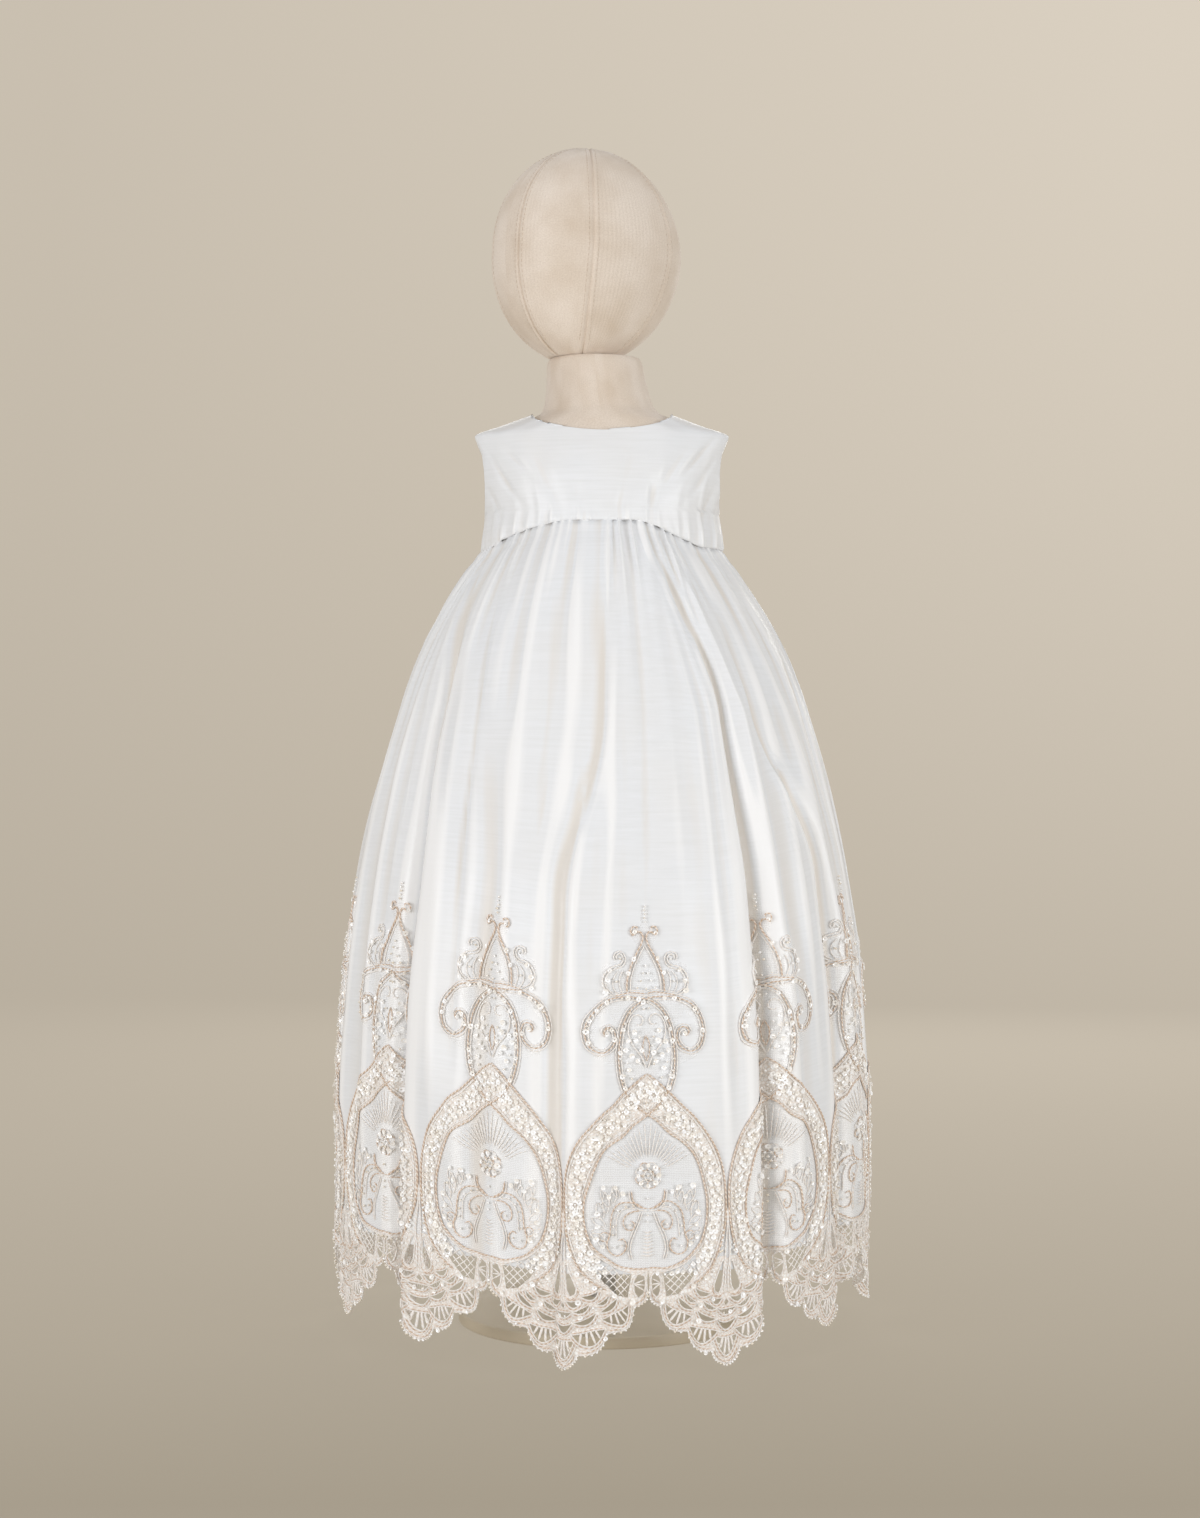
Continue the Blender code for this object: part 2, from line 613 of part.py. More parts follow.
# ---- turned and domed pieces --------------------------------------------------------------
def close_rings(name, rings, material):
    """A solid from rings of points, bottom to top, closed by a flat cap at each end."""
    count = len(rings[0])
    points = [p for ring in rings for p in ring]
    faces = [tuple(reversed(range(count)))]
    for level in range(len(rings) - 1):
        start = level * count
        for i in range(count):
            j = (i + 1) % count
            faces.append((start + i, start + j, start + j + count, start + i + count))
    faces.append(tuple(range((len(rings) - 1) * count, len(rings) * count)))
    return new_solid(name, points, faces, material)


def circle(radius, height, segments=ROUND_SEGMENTS):
    turns = [2 * math.pi * i / segments for i in range(segments)]
    return [(radius * math.cos(t), radius * math.sin(t), height) for t in turns]


def form_ring(ring):
    turns = np.radians(np.arange(FORM_SEGMENTS) * 360.0 / FORM_SEGMENTS)
    return [(ring.half_width * math.sin(t) + ring.shift, -ring.half_depth * math.cos(t),
             ring.height) for t in turns]


def inset_bodice_ring(height):
    """A ring of the form's shoulders: the bodice's surface, moved in along its normals."""
    angles = np.arange(FORM_SEGMENTS) * 360.0 / FORM_SEGMENTS
    level = np.full(FORM_SEGMENTS, height)
    here = bodice_point(angles, level)
    round_about = bodice_point(angles + 1.0, level) - bodice_point(angles - 1.0, level)
    upwards = bodice_point(angles, level + 1.0) - bodice_point(angles, level - 1.0)
    ring = here - unit(np.cross(round_about, upwards)) * (CLOTH + FORM_EASE)
    ring[:, 0] *= min(1.0, FORM_SHOULDER_LIMIT / abs(ring[:, 0]).max())
    return [tuple(p) for p in ring]


def build_form(jersey):
    rings = [form_ring(ring) for ring in FORM_BODY]
    rings += [inset_bodice_ring(height) for height in FORM_SHOULDER_HEIGHTS]
    rings += [form_ring(ring) for ring in FORM_NECK]
    close_rings("form_torso", rings, jersey)


def build_head(jersey):
    """An egg-shaped head, its foot flattened where it sits on the neck."""
    along, across, up = HEAD_SEMI_AXES
    seat = FORM_NECK[-1].height + SEAM
    turn = math.radians(HEAD_TURN)
    rings = []
    for level in range(1, HEAD_RINGS):
        tilt = math.pi * level / HEAD_RINGS
        ring = []
        for i in range(HEAD_SEGMENTS):
            spin = 2 * math.pi * i / HEAD_SEGMENTS
            z = -up * math.cos(tilt)
            forward = along * math.sin(tilt) * math.cos(spin) + HEAD_CHIN_LEAN * max(0.0, -z)
            sideways = across * math.sin(tilt) * math.sin(spin)
            x = -forward * math.sin(turn) + sideways * math.cos(turn)
            y = -forward * math.cos(turn) - sideways * math.sin(turn)
            ring.append((HEAD_CENTRE[0] + x, HEAD_CENTRE[1] + y, max(seat, HEAD_CENTRE[2] + z)))
        rings.append(ring)
    close_rings("form_head", rings, jersey)


def build_stand(steel, paint):
    pole_foot = BASE_THICKNESS + SEAM
    pole_head = FORM_BODY[0].height - SEAM
    close_rings("stand_pole", [circle(POLE_RADIUS, pole_foot), circle(POLE_RADIUS, pole_head)], steel)
    close_rings("stand_base", [circle(BASE_RADIUS - BASE_EDGE, 0.0), circle(BASE_RADIUS, BASE_EDGE),
                               circle(BASE_RADIUS, BASE_THICKNESS - BASE_EDGE),
                               circle(BASE_RADIUS - BASE_EDGE, BASE_THICKNESS)], paint)


def build_buttons(silk):
    """Small domed buttons down the wearer's left edge of the back opening."""
    for number, height in enumerate(BUTTON_HEIGHTS, 1):
        centre = bodice_point(BUTTON_ANGLE, height)
        beside = bodice_point(BUTTON_ANGLE + 2.0, height) - bodice_point(BUTTON_ANGLE - 2.0, height)
        above = bodice_point(BUTTON_ANGLE, height + 3.0) - bodice_point(BUTTON_ANGLE, height - 3.0)
        beside, above = unit(beside), unit(above)
        out = unit(np.cross(beside, above))
        above = np.cross(out, beside)
        rings = []
        for share, rise in BUTTON_RINGS:
            turns = [2 * math.pi * i / BUTTON_SEGMENTS for i in range(BUTTON_SEGMENTS)]
            rings.append([tuple(centre + out * (SEAM + rise * BUTTON_DOME)
                                + BUTTON_RADIUS * share * (beside * math.cos(t) + above * math.sin(t)))
                          for t in turns])
        close_rings(f"back_button_{number}", rings, silk)


def main():
    for old in list(bpy.data.objects):
        bpy.data.objects.remove(old, do_unlink=True)
    silk = new_material("ivory silk shantung", (0.82, 0.81, 0.79), 0.45)
    lace = new_material("corded beaded lace", (0.72, 0.62, 0.55), 0.5)
    jersey = new_material("cream cotton jersey", (0.66, 0.55, 0.42), 0.9)
    steel = new_material("brushed steel", (0.55, 0.55, 0.56), 0.35, 1.0)
    paint = new_material("cream painted steel", (0.62, 0.57, 0.50), 0.5)

    hem = hem_columns()
    waist = waist_angles(hem)
    build_skirt(hem, skirt_rows(hem, waist, SKIRT_SECTIONS), silk)
    girth = build_lace(hem, waist, lace)
    build_bodice(silk)
    build_form(jersey)
    build_head(jersey)
    build_stand(steel, paint)
    build_buttons(silk)
    print(f"hem {girth:.0f} mm round, repeat {girth / REPEATS:.1f} mm, {len(hem)} columns")


main()
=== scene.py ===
"""Dresses the christening gown: shantung silk, corded lace, the dress form, stage and camera.

Tables are in millimetres and degrees, and MM turns millimetres into metres. Angles run round
the gown from its centre front (0, the -Y side) to the wearer's left (+90, the +X side).
"""
import math
from collections import namedtuple

import bmesh
import bpy
import numpy as np
from mathutils import Matrix, Vector
from mathutils.geometry import delaunay_2d_cdt

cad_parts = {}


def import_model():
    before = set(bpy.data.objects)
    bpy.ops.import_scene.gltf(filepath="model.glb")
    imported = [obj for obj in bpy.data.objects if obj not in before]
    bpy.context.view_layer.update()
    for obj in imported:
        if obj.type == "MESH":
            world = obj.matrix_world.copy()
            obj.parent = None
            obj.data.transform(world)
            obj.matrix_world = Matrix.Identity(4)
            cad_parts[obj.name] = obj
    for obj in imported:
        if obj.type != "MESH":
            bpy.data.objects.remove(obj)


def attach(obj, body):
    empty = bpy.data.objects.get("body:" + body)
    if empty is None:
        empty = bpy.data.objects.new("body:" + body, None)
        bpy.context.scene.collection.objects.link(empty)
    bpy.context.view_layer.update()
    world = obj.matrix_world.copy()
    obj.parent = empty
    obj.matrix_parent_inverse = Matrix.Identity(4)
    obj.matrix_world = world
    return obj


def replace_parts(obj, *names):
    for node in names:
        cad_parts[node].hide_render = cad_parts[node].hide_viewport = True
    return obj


MM = 0.001

# ---- the gown's form, as it is cut ----------------------------------------------------------
SILK_THICKNESS = 0.9
SEAM = 0.3
WAIST_SEAM = 0.6
SEAM_ALLOWANCE = 1.2        # the skirt's edge goes on up under the bodice
FLOOR_CLEARANCE = 4.0
HEM_HEIGHT = 70.0
LACE_TOP_ROW = 330.0
SIDE_WAIST = 588.7
REPEATS = 12
REPEAT_WIDTH = 118.0
MOTIF_ANGLE = 9.0
SIDE_SEAM = 90.0
PANEL_SPACING = 34.0
HEM_WIDTH = 203.5
HEM_DEPTH = 187.0

Section = namedtuple("Section", "height half_width half_depth gather")
SKIRT_SECTIONS = (
    Section(SIDE_WAIST, 92.6, 66.0, 0.3),
    Section(582.5, 95.5, 70.0, 1.1),
    Section(574.0, 102.0, 77.5, 1.7),
    Section(562.0, 110.0, 86.5, 1.7),
    Section(545.0, 120.5, 97.0, 1.2),
    Section(522.0, 132.8, 108.5, 0.6),
    Section(491.0, 145.9, 123.0, 0.2),
    Section(450.0, 158.5, 138.0, 0.0),
    Section(395.0, 172.5, 154.0, 0.0),
    Section(LACE_TOP_ROW, 186.0, 170.9, 0.0),
    Section(238.0, 198.2, 182.1, 0.0),
    Section(137.0, 203.5, 187.0, 0.0),
    Section(HEM_HEIGHT, 203.5, 187.0, 0.0),
    Section(FLOOR_CLEARANCE, 202.5, 186.1, 0.0),
)

# Folds: angle at the hem, halfway up and at the waist, depth inwards, half width and top. Tuck
# is how far the ridge beside the fold leans over it (negative: the ridge on the low side).
Fold = namedtuple("Fold", "hem mid waist depth reach top tuck")
FOLDS = (
    Fold(-158.0, -156.0, -160.0, 19.0, 13.0, 560.0, 5.0),
    Fold(-132.0, -134.0, -137.0, 14.0, 15.0, 500.0, -3.0),
    Fold(-107.0, -109.0, -112.0, 17.0, 12.5, 575.0, 4.0),
    Fold(-79.0, -80.0, -86.0, 9.0, 13.0, 520.0, 3.0),
    Fold(-46.0, -49.0, -57.0, 19.0, 11.5, 580.0, 7.0),
    Fold(-26.0, -31.0, -34.0, 4.0, 17.0, 480.0, 0.0),
    Fold(-9.5, -0.5, 2.0, 7.0, 15.0, 590.0, 2.5),
    Fold(36.5, 35.0, 22.0, 18.0, 12.0, 590.0, -1.5),
    Fold(60.5, 45.0, 37.0, 10.0, 14.0, 520.0, 3.0),
    Fold(81.0, 79.0, 76.0, 11.0, 12.0, 560.0, 2.0),
    Fold(105.0, 104.0, 101.0, 15.0, 14.0, 500.0, -4.0),
    Fold(129.0, 131.0, 134.0, 18.0, 13.0, 575.0, 5.0),
    Fold(153.0, 153.0, 154.0, 13.0, 15.0, 480.0, 3.0),
    Fold(176.0, 176.0, 177.0, 17.0, 13.0, 560.0, -5.0),
)
DEEP_FOLD = 8.5

# Soft creases laid between the folds: their angle at the hem, halfway up and at the waist,
# how far they stand out (negative dips), half width, and the heights they run between.
Crease = namedtuple("Crease", "hem mid waist out reach foot head")
CREASES = (
    Crease(-70.0, -72.0, -74.0, 2.4, 15.0, 40.0, 560.0),
    Crease(-58.0, -62.0, -66.0, 2.6, 10.0, 60.0, 585.0),
    Crease(-36.0, -41.0, -46.0, 1.5, 12.0, 120.0, 580.0),
    Crease(-31.0, -35.0, -40.0, -1.0, 4.5, 200.0, 588.0),
    Crease(-52.5, -56.0, -63.0, 0.9, 3.4, 110.0, 585.0),
    Crease(-21.0, -22.0, -24.0, 0.6, 10.0, 230.0, 588.0),
    Crease(-16.0, -14.0, -13.0, -0.7, 6.5, 300.0, 588.0),
    Crease(-11.5, -3.0, 0.5, 0.9, 3.4, 130.0, 588.0),
    Crease(-3.0, 3.5, 6.5, 1.3, 8.0, 90.0, 588.0),
    Crease(7.0, 11.0, 11.0, -0.8, 8.0, 280.0, 588.0),
    Crease(17.0, 18.0, 15.0, 0.7, 11.0, 210.0, 588.0),
    Crease(26.0, 25.5, 18.0, 1.4, 9.0, 60.0, 588.0),
    Crease(30.5, 30.0, 19.5, 0.9, 3.4, 170.0, 588.0),
    Crease(45.0, 40.5, 29.0, 2.6, 9.0, 60.0, 588.0),
    Crease(52.0, 50.0, 45.0, 2.0, 9.0, 170.0, 585.0),
    Crease(71.0, 60.0, 52.0, 2.6, 12.0, 60.0, 575.0),
    Crease(76.0, 69.0, 62.0, -1.6, 8.0, 210.0, 570.0),
    Crease(93.0, 91.0, 88.0, 2.2, 12.0, 60.0, 560.0),
    Crease(116.0, 117.0, 118.0, 2.5, 13.0, 60.0, 580.0),
    Crease(121.0, 124.0, 126.0, -1.3, 7.0, 260.0, 588.0),
    Crease(141.0, 142.0, 144.0, 2.2, 11.0, 90.0, 580.0),
    Crease(164.0, 164.0, 165.0, 2.4, 12.0, 60.0, 588.0),
    Crease(169.0, 169.0, 170.0, -1.2, 6.0, 250.0, 588.0),
    Crease(-171.0, -170.0, -169.0, 2.2, 12.0, 60.0, 585.0),
    Crease(-145.0, -146.0, -149.0, 2.3, 13.0, 80.0, 580.0),
    Crease(-139.0, -141.0, -143.0, -1.2, 7.0, 280.0, 588.0),
    Crease(-120.0, -122.0, -125.0, 2.2, 12.0, 60.0, 575.0),
    Crease(-94.0, -95.0, -99.0, 2.4, 12.0, 60.0, 570.0),
)
CREASE_RELIEF = 1.9         # the table's creases stand out this many times as far

# How far the hem is lifted, and how far the waist seam arches, by angle.
LIFT_ANGLES = (-180.0, -95.0, -65.0, -35.0, -8.0, 27.0, 55.0, 85.0, 130.0, 180.0)
LIFT_HEIGHTS = (4.0, 12.0, 16.0, 11.0, 0.0, 0.0, 16.0, 17.0, 7.0, 4.0)
LIFT_FADES_AT = 540.0
ARCH_ANGLES = (-180.0, -72.0, -63.0, -54.0, -36.0, -18.0, 18.0, 27.0, 36.0, 45.0, 54.0, 180.0)
ARCH_HEIGHTS = (1.0, 0.0, 2.5, 6.5, 14.0, 19.3, 19.3, 15.0, 8.7, 4.6, 0.8, 1.0)

HEM_SPACING = 3.6           # width of the skirt mesh's columns at the hem
ROW_DISTANCES = (0.0, 8.0, 60.0, 160.0)     # below the waist, with the rows' spacing there
ROW_SPACINGS = (0.9, 1.8, 3.0, 5.6)
HEM_TURNING = 1.2           # the last row stands this far above the hem
BODICE_COLUMNS = 160
BODICE_ROWS = (44, 18)      # rows above the underarm and below it
SKIRT_RELIEF_REACH = 5      # columns each side that a hollow is measured against
BODICE_RELIEF_REACH = 7
GATHER_COUNT = 76           # small gathers round the waist
PUCKER_COUNT = 54           # puckers round the bodice's lower edge

Level = namedtuple("Level", "height half_width half_depth")
BODICE_LEVELS = (
    Level(585.0, 92.8, 66.0),
    Level(599.0, 92.4, 66.4),
    Level(614.0, 90.4, 66.4),
    Level(629.0, 89.4, 66.0),
    Level(645.0, 89.4, 64.6),
    Level(660.0, 91.0, 60.6),
    Level(669.0, 94.6, 56.6),
    Level(676.0, 97.0, 53.0),
    Level(685.0, 76.0, 49.2),
    Level(694.0, 53.0, 45.0),
)
UNDERARM = 616.0
SHOULDER_TIP = 676.0
NECK_POINT = 694.0
NECK_FRONT = 677.0
NECK_BACK = 687.0
ARMHOLE_ANGLE = 23.5
SHOULDER_SHARE = 0.62

# Creases of the bodice: angle, height, slant, half width, length and depth.
BODICE_CREASES = (
    (46.0, 655.0, 0.75, 3.2, 16.0, 1.3),
    (53.0, 643.0, 0.60, 3.4, 14.0, 1.0),
    (-50.0, 640.0, -0.55, 3.0, 15.0, 1.1),
    (-62.0, 625.0, -0.40, 3.5, 12.0, 1.1),
    (-40.0, 652.0, -0.80, 3.2, 10.0, 0.8),
    (60.0, 622.0, 0.35, 3.5, 13.0, 1.1),
    (-12.0, 628.0, 0.10, 4.0, 12.0, 0.8),
    (24.0, 630.0, -0.15, 4.0, 13.0, 0.8),
    (8.0, 622.0, 0.20, 3.0, 9.0, 0.7),
    (-27.0, 642.0, -0.35, 5.5, 20.0, 1.5),
    (11.0, 648.0, 0.20, 6.0, 17.0, 1.1),
    (33.0, 646.0, 0.55, 5.0, 20.0, 1.4),
    (140.0, 640.0, 0.50, 3.5, 16.0, 1.1),
    (-143.0, 645.0, -0.50, 3.5, 16.0, 1.1),
)

# ---- the dress form -------------------------------------------------------------------------
CLOTH = 1.2
FORM_EASE = 1.1
FORM_SHOULDER_LIMIT = 85.0
FORM_SEGMENTS = 120
Ring = namedtuple("Ring", "height half_width half_depth shift")
FORM_BODY = (
    Ring(500.0, 34.0, 25.0, 0.0),
    Ring(503.0, 58.0, 43.0, 0.0),
    Ring(512.0, 75.0, 55.0, 0.0),
    Ring(530.0, 84.0, 60.0, 0.0),
    Ring(560.0, 87.0, 61.0, 0.0),
    Ring(590.0, 87.5, 61.0, 0.0),
    Ring(616.0, 85.0, 61.5, 0.0),
    Ring(638.0, 84.6, 60.6, 0.0),
)
FORM_SHOULDER_HEIGHTS = (656.0, 665.0, 672.0, 678.0, 684.0, 689.5)
FORM_NECK = (
    Ring(693.4, 48.6, 42.6, -1.0),
    Ring(698.0, 43.6, 40.2, -2.0),
    Ring(706.0, 40.6, 38.2, -3.0),
    Ring(720.0, 38.0, 36.4, -4.5),
    Ring(733.0, 36.6, 35.2, -5.5),
    Ring(737.0, 34.6, 33.4, -5.5),
)
HEAD_CENTRE = (-11.0, 0.0, 815.5)
HEAD_SEMI_AXES = (80.0, 60.0, 83.0)
HEAD_TURN = 50.0
HEAD_CHIN_LEAN = 0.10
HEAD_GORE_SEAMS = (-62.0, -24.0, 13.0, 62.0, 118.0, 180.0, -118.0)
HEAD_GIRTH_RADIUS = 70.0
HEAD_SEAM_DEPTH = 0.9
HEAD_SEAM_EDGE = 0.45       # how far the turned edges stand out beside a seam
STITCH_ROW = 3.4            # rows of stitches beside a seam
STITCH_RADIUS = 0.22
POLE_RADIUS = 11.0
BASE_RADIUS = 110.0
BASE_THICKNESS = 9.0

BUTTON_HEIGHTS = (603.0, 638.0, 675.0)
BUTTON_RADIUS = 4.6
BUTTON_DOME = 2.4
BUTTON_ANGLE = 175.0
LOOP_CORD = 0.6             # radius of the thread loops that close over the buttons


# ---- reading the tables ---------------------------------------------------------------------
def smooth(value):
    """0 below 0, 1 above 1, and an S-curve between."""
    value = np.clip(value, 0.0, 1.0)
    return value * value * (3.0 - 2.0 * value)


def column(table, name):
    return np.array([getattr(row, name) for row in table])


def unit(vectors):
    return vectors / np.linalg.norm(vectors, axis=-1, keepdims=True)


def curve_between(s, start, end, span, leaving, arriving):
    """A smooth curve from start to end with the given slopes; s goes from 0 to 1."""
    return ((2 * s ** 3 - 3 * s ** 2 + 1) * start + (s ** 3 - 2 * s ** 2 + s) * span * leaving
            + (3 * s ** 2 - 2 * s ** 3) * end + (s ** 3 - s ** 2) * span * arriving)


def read_curve(marks, values, at):
    """Values read along a smooth curve that never swings past the table's points."""
    order = np.argsort(marks)
    marks, values = np.asarray(marks, float)[order], np.asarray(values, float)[order]
    step = np.diff(marks)
    slope = np.diff(values) / step
    product, total = slope[:-1] * slope[1:], slope[:-1] + slope[1:]
    middle = np.where(product > 0, 2 * product / np.where(total == 0, 1, total), 0.0)
    tangent = np.concatenate([slope[:1], middle, slope[-1:]])
    at = np.clip(at, marks[0], marks[-1])
    i = np.clip(np.searchsorted(marks, at, side="right") - 1, 0, len(step) - 1)
    s = (at - marks[i]) / step[i]
    return curve_between(s, values[i], values[i + 1], step[i], tangent[i], tangent[i + 1])


def read_section(table, name, height):
    return read_curve(column(table, "height"), column(table, name), height)


def turn_read(at, marks, angles):
    """Angles that run on past a full turn, read between marks that repeat."""
    marks, angles = np.asarray(marks), np.asarray(angles)
    return np.interp(at, np.concatenate([marks - 360.0, marks, marks + 360.0]),
                     np.concatenate([angles - 360.0, angles, angles + 360.0]))


def away_from(angle, centre):
    """Signed angle from a centre, -180 to 180."""
    return (angle - centre + 180.0) % 360.0 - 180.0


def arch(angle):
    return np.interp(angle, ARCH_ANGLES, ARCH_HEIGHTS, period=360.0)


def lift(angle):
    return np.interp(angle, LIFT_ANGLES, LIFT_HEIGHTS, period=360.0)


# ---- the skirt's surface --------------------------------------------------------------------
def fold_angle(reach):
    """Half width of a fold, in degrees at the hem."""
    return math.degrees(reach / (0.5 * (HEM_WIDTH + HEM_DEPTH)))


def hem_columns():
    """Angles at the hem of the columns that the skirt is cut by."""
    marks = [(-SIDE_SEAM, -SIDE_SEAM, ()), (SIDE_SEAM, SIDE_SEAM, ())]
    for fold in FOLDS:
        half = fold_angle(fold.reach)
        inner = (-0.5, 0.0, 0.5) if fold.depth > DEEP_FOLD else (0.0,)
        marks.append((fold.hem - half, fold.hem + half, [fold.hem + half * s for s in inner]))
    marks.sort()
    radius = 0.5 * (HEM_WIDTH + HEM_DEPTH)
    angles = []
    for here, after in zip(marks, marks[1:] + marks[:1]):
        start, end = here[1], after[0] if after is not marks[0] else after[0] + 360.0
        angles += [here[0], *here[2]] + ([here[1]] if here[1] > here[0] else [])
        pieces = math.ceil(math.radians(end - start) * radius / PANEL_SPACING)
        angles += [start + (end - start) * i / pieces for i in range(1, pieces)]
    return np.array(angles)


def waist_columns(hem):
    """Angles of the same columns at the waist."""
    index = np.arange(len(hem), dtype=float)
    centres = sorted([(f.hem, f.waist) for f in FOLDS] + [(-SIDE_SEAM,) * 2, (SIDE_SEAM,) * 2])
    at = np.interp([c[0] for c in centres], hem, index)
    waist = np.array([c[1] for c in centres])
    count = len(hem)
    return np.interp(index, np.concatenate([at - count, at, at + count]),
                     np.concatenate([waist - 360.0, waist, waist + 360.0]))


HEM_COLUMNS = hem_columns()
WAIST_COLUMNS = waist_columns(HEM_COLUMNS)


def gather_table(count, seed, width, depth, length):
    """Uneven small gathers all round: angle, half width, depth and length of each."""
    rng = np.random.default_rng(seed)
    pitch = 360.0 / count
    angles = -180.0 + pitch * (np.arange(count) + rng.uniform(-0.38, 0.38, count))
    return np.stack([angles, rng.uniform(*width, count), rng.uniform(*depth, count),
                     length[0] + (length[1] - length[0]) * rng.uniform(0, 1, count) ** 1.8], 1)


GATHERS = gather_table(GATHER_COUNT, 11, (0.8, 1.6), (1.6, 4.2), (34.0, 150.0))
PUCKERS = gather_table(PUCKER_COUNT, 12, (0.8, 1.7), (0.9, 2.6), (7.0, 38.0))


def ruffled(angle, below, table):
    """How far the gathers of a table stand out, at distances from their seam."""
    out = np.zeros(np.broadcast(angle, below).shape)
    below = np.maximum(below, 0.0)
    near = below < 4 * table[:, 3].max()
    if not near.any():
        return out
    angle, below = np.broadcast_to(angle, out.shape)[near], np.broadcast_to(below, out.shape)[near]
    total = np.zeros(angle.shape)
    for place, width, depth, length in table:
        spread = width * (1.0 + 0.6 * np.clip(below / length, 0.0, 2.0))
        across = away_from(angle, place) / spread
        total += depth * np.exp(-across ** 2) * np.exp(-(below / length) ** 1.4)
    out[near] = total
    return out


def skirt_point(hem, height):
    """Points of the skirt's outside, for arrays of hem angles and of heights at the side."""
    hem, height = np.broadcast_arrays(np.asarray(hem, float), np.asarray(height, float))
    mid = turn_read(hem, column(FOLDS, "hem"), column(FOLDS, "mid"))
    waist = turn_read(hem, HEM_COLUMNS, WAIST_COLUMNS)
    rise_mid = 0.5 * (LACE_TOP_ROW + SIDE_WAIST)
    upper = smooth((height - rise_mid) / (SIDE_WAIST - rise_mid))
    lower = smooth((height - LACE_TOP_ROW) / (rise_mid - LACE_TOP_ROW))
    angle = np.where(height >= rise_mid, mid + (waist - mid) * upper, hem + (mid - hem) * lower)
    half_width = read_section(SKIRT_SECTIONS, "half_width", height)
    half_depth = read_section(SKIRT_SECTIONS, "half_depth", height)
    scale = half_width / HEM_WIDTH
    inwards, sideways = np.zeros(hem.shape), np.zeros(hem.shape)
    for fold in FOLDS:
        half = fold_angle(fold.reach)
        away = away_from(hem, fold.hem)
        fade = np.clip((fold.top - height) / (fold.top - LACE_TOP_ROW), 0.0, 1.0) ** 0.8
        dip = 0.5 + 0.5 * np.cos(np.pi * np.clip(away / half, -1.0, 1.0))
        inwards += fold.depth * dip * fade * scale
        rim = (away - math.copysign(half, fold.tuck)) / (1.25 * half)
        sideways -= fold.tuck * fade * scale * (0.5 + 0.5 * np.cos(np.pi * np.clip(rim, -1, 1)))
    for crease in CREASES:
        along = np.clip((height - crease.foot) / (crease.head - crease.foot), 0.0, 1.0)
        path = np.interp(height, (HEM_HEIGHT, rise_mid, SIDE_WAIST),
                         (crease.hem, crease.mid, crease.waist))
        across = away_from(angle, path) / (math.degrees(crease.reach / HEM_DEPTH) * (1.3 - 0.3 * scale))
        ridge = np.exp(-1.9 * abs(across) ** 1.35) * np.sin(np.pi * along) ** 0.6
        inwards -= CREASE_RELIEF * crease.out * ridge
    index = np.interp(hem, HEM_COLUMNS, np.arange(len(HEM_COLUMNS)), period=360.0)
    pleat = np.cos(np.pi * index) * (0.8 + 0.35 * np.sin(0.9 * index))
    inwards -= read_section(SKIRT_SECTIONS, "gather", height) * pleat * 0.8
    turn = np.radians(angle)
    waver = (0.45 * np.sin(9 * turn + 0.021 * height) + 0.35 * np.sin(17 * turn - 0.034 * height)
             + 0.25 * np.sin(29 * turn + 0.055 * height))
    inwards += waver * np.clip((SIDE_WAIST - height) / 60.0, 0.0, 1.0)
    inwards -= ruffled(angle, SIDE_WAIST - height, GATHERS) - 2.0 * np.clip((height - 520) / 60, 0, 1)
    inwards += 1.2 * np.exp(-(np.maximum(SIDE_WAIST - height, 0.0) / 1.8) ** 2)
    normal = unit(np.stack([np.sin(turn) / half_width, -np.cos(turn) / half_depth], axis=-1))
    x = half_width * np.sin(turn) - normal[..., 0] * inwards - normal[..., 1] * sideways
    y = -half_depth * np.cos(turn) - normal[..., 1] * inwards + normal[..., 0] * sideways
    arched = np.clip((height - LACE_TOP_ROW) / (SIDE_WAIST - LACE_TOP_ROW), 0, 1) ** 1.5
    lifted = 1.0 - smooth((height - LACE_TOP_ROW) / (LIFT_FADES_AT - LACE_TOP_ROW))
    z = height + arch(angle) * arched + lift(hem) * lifted
    return np.stack([x, y, z], axis=-1)


# ---- the bodice's surface -------------------------------------------------------------------
def bodice_point(angle, height):
    turn = np.radians(angle)
    width = read_section(BODICE_LEVELS, "half_width", height)
    depth = read_section(BODICE_LEVELS, "half_depth", height)
    return np.stack([width * np.sin(turn), -depth * np.cos(turn), height + 0.0 * turn], axis=-1)


def neckline(angle):
    rise = abs(np.sin(np.radians(angle))) ** 1.5
    lowest = np.where(abs(angle) <= 90.0, NECK_FRONT, NECK_BACK)
    return lowest + (NECK_POINT - lowest) * rise


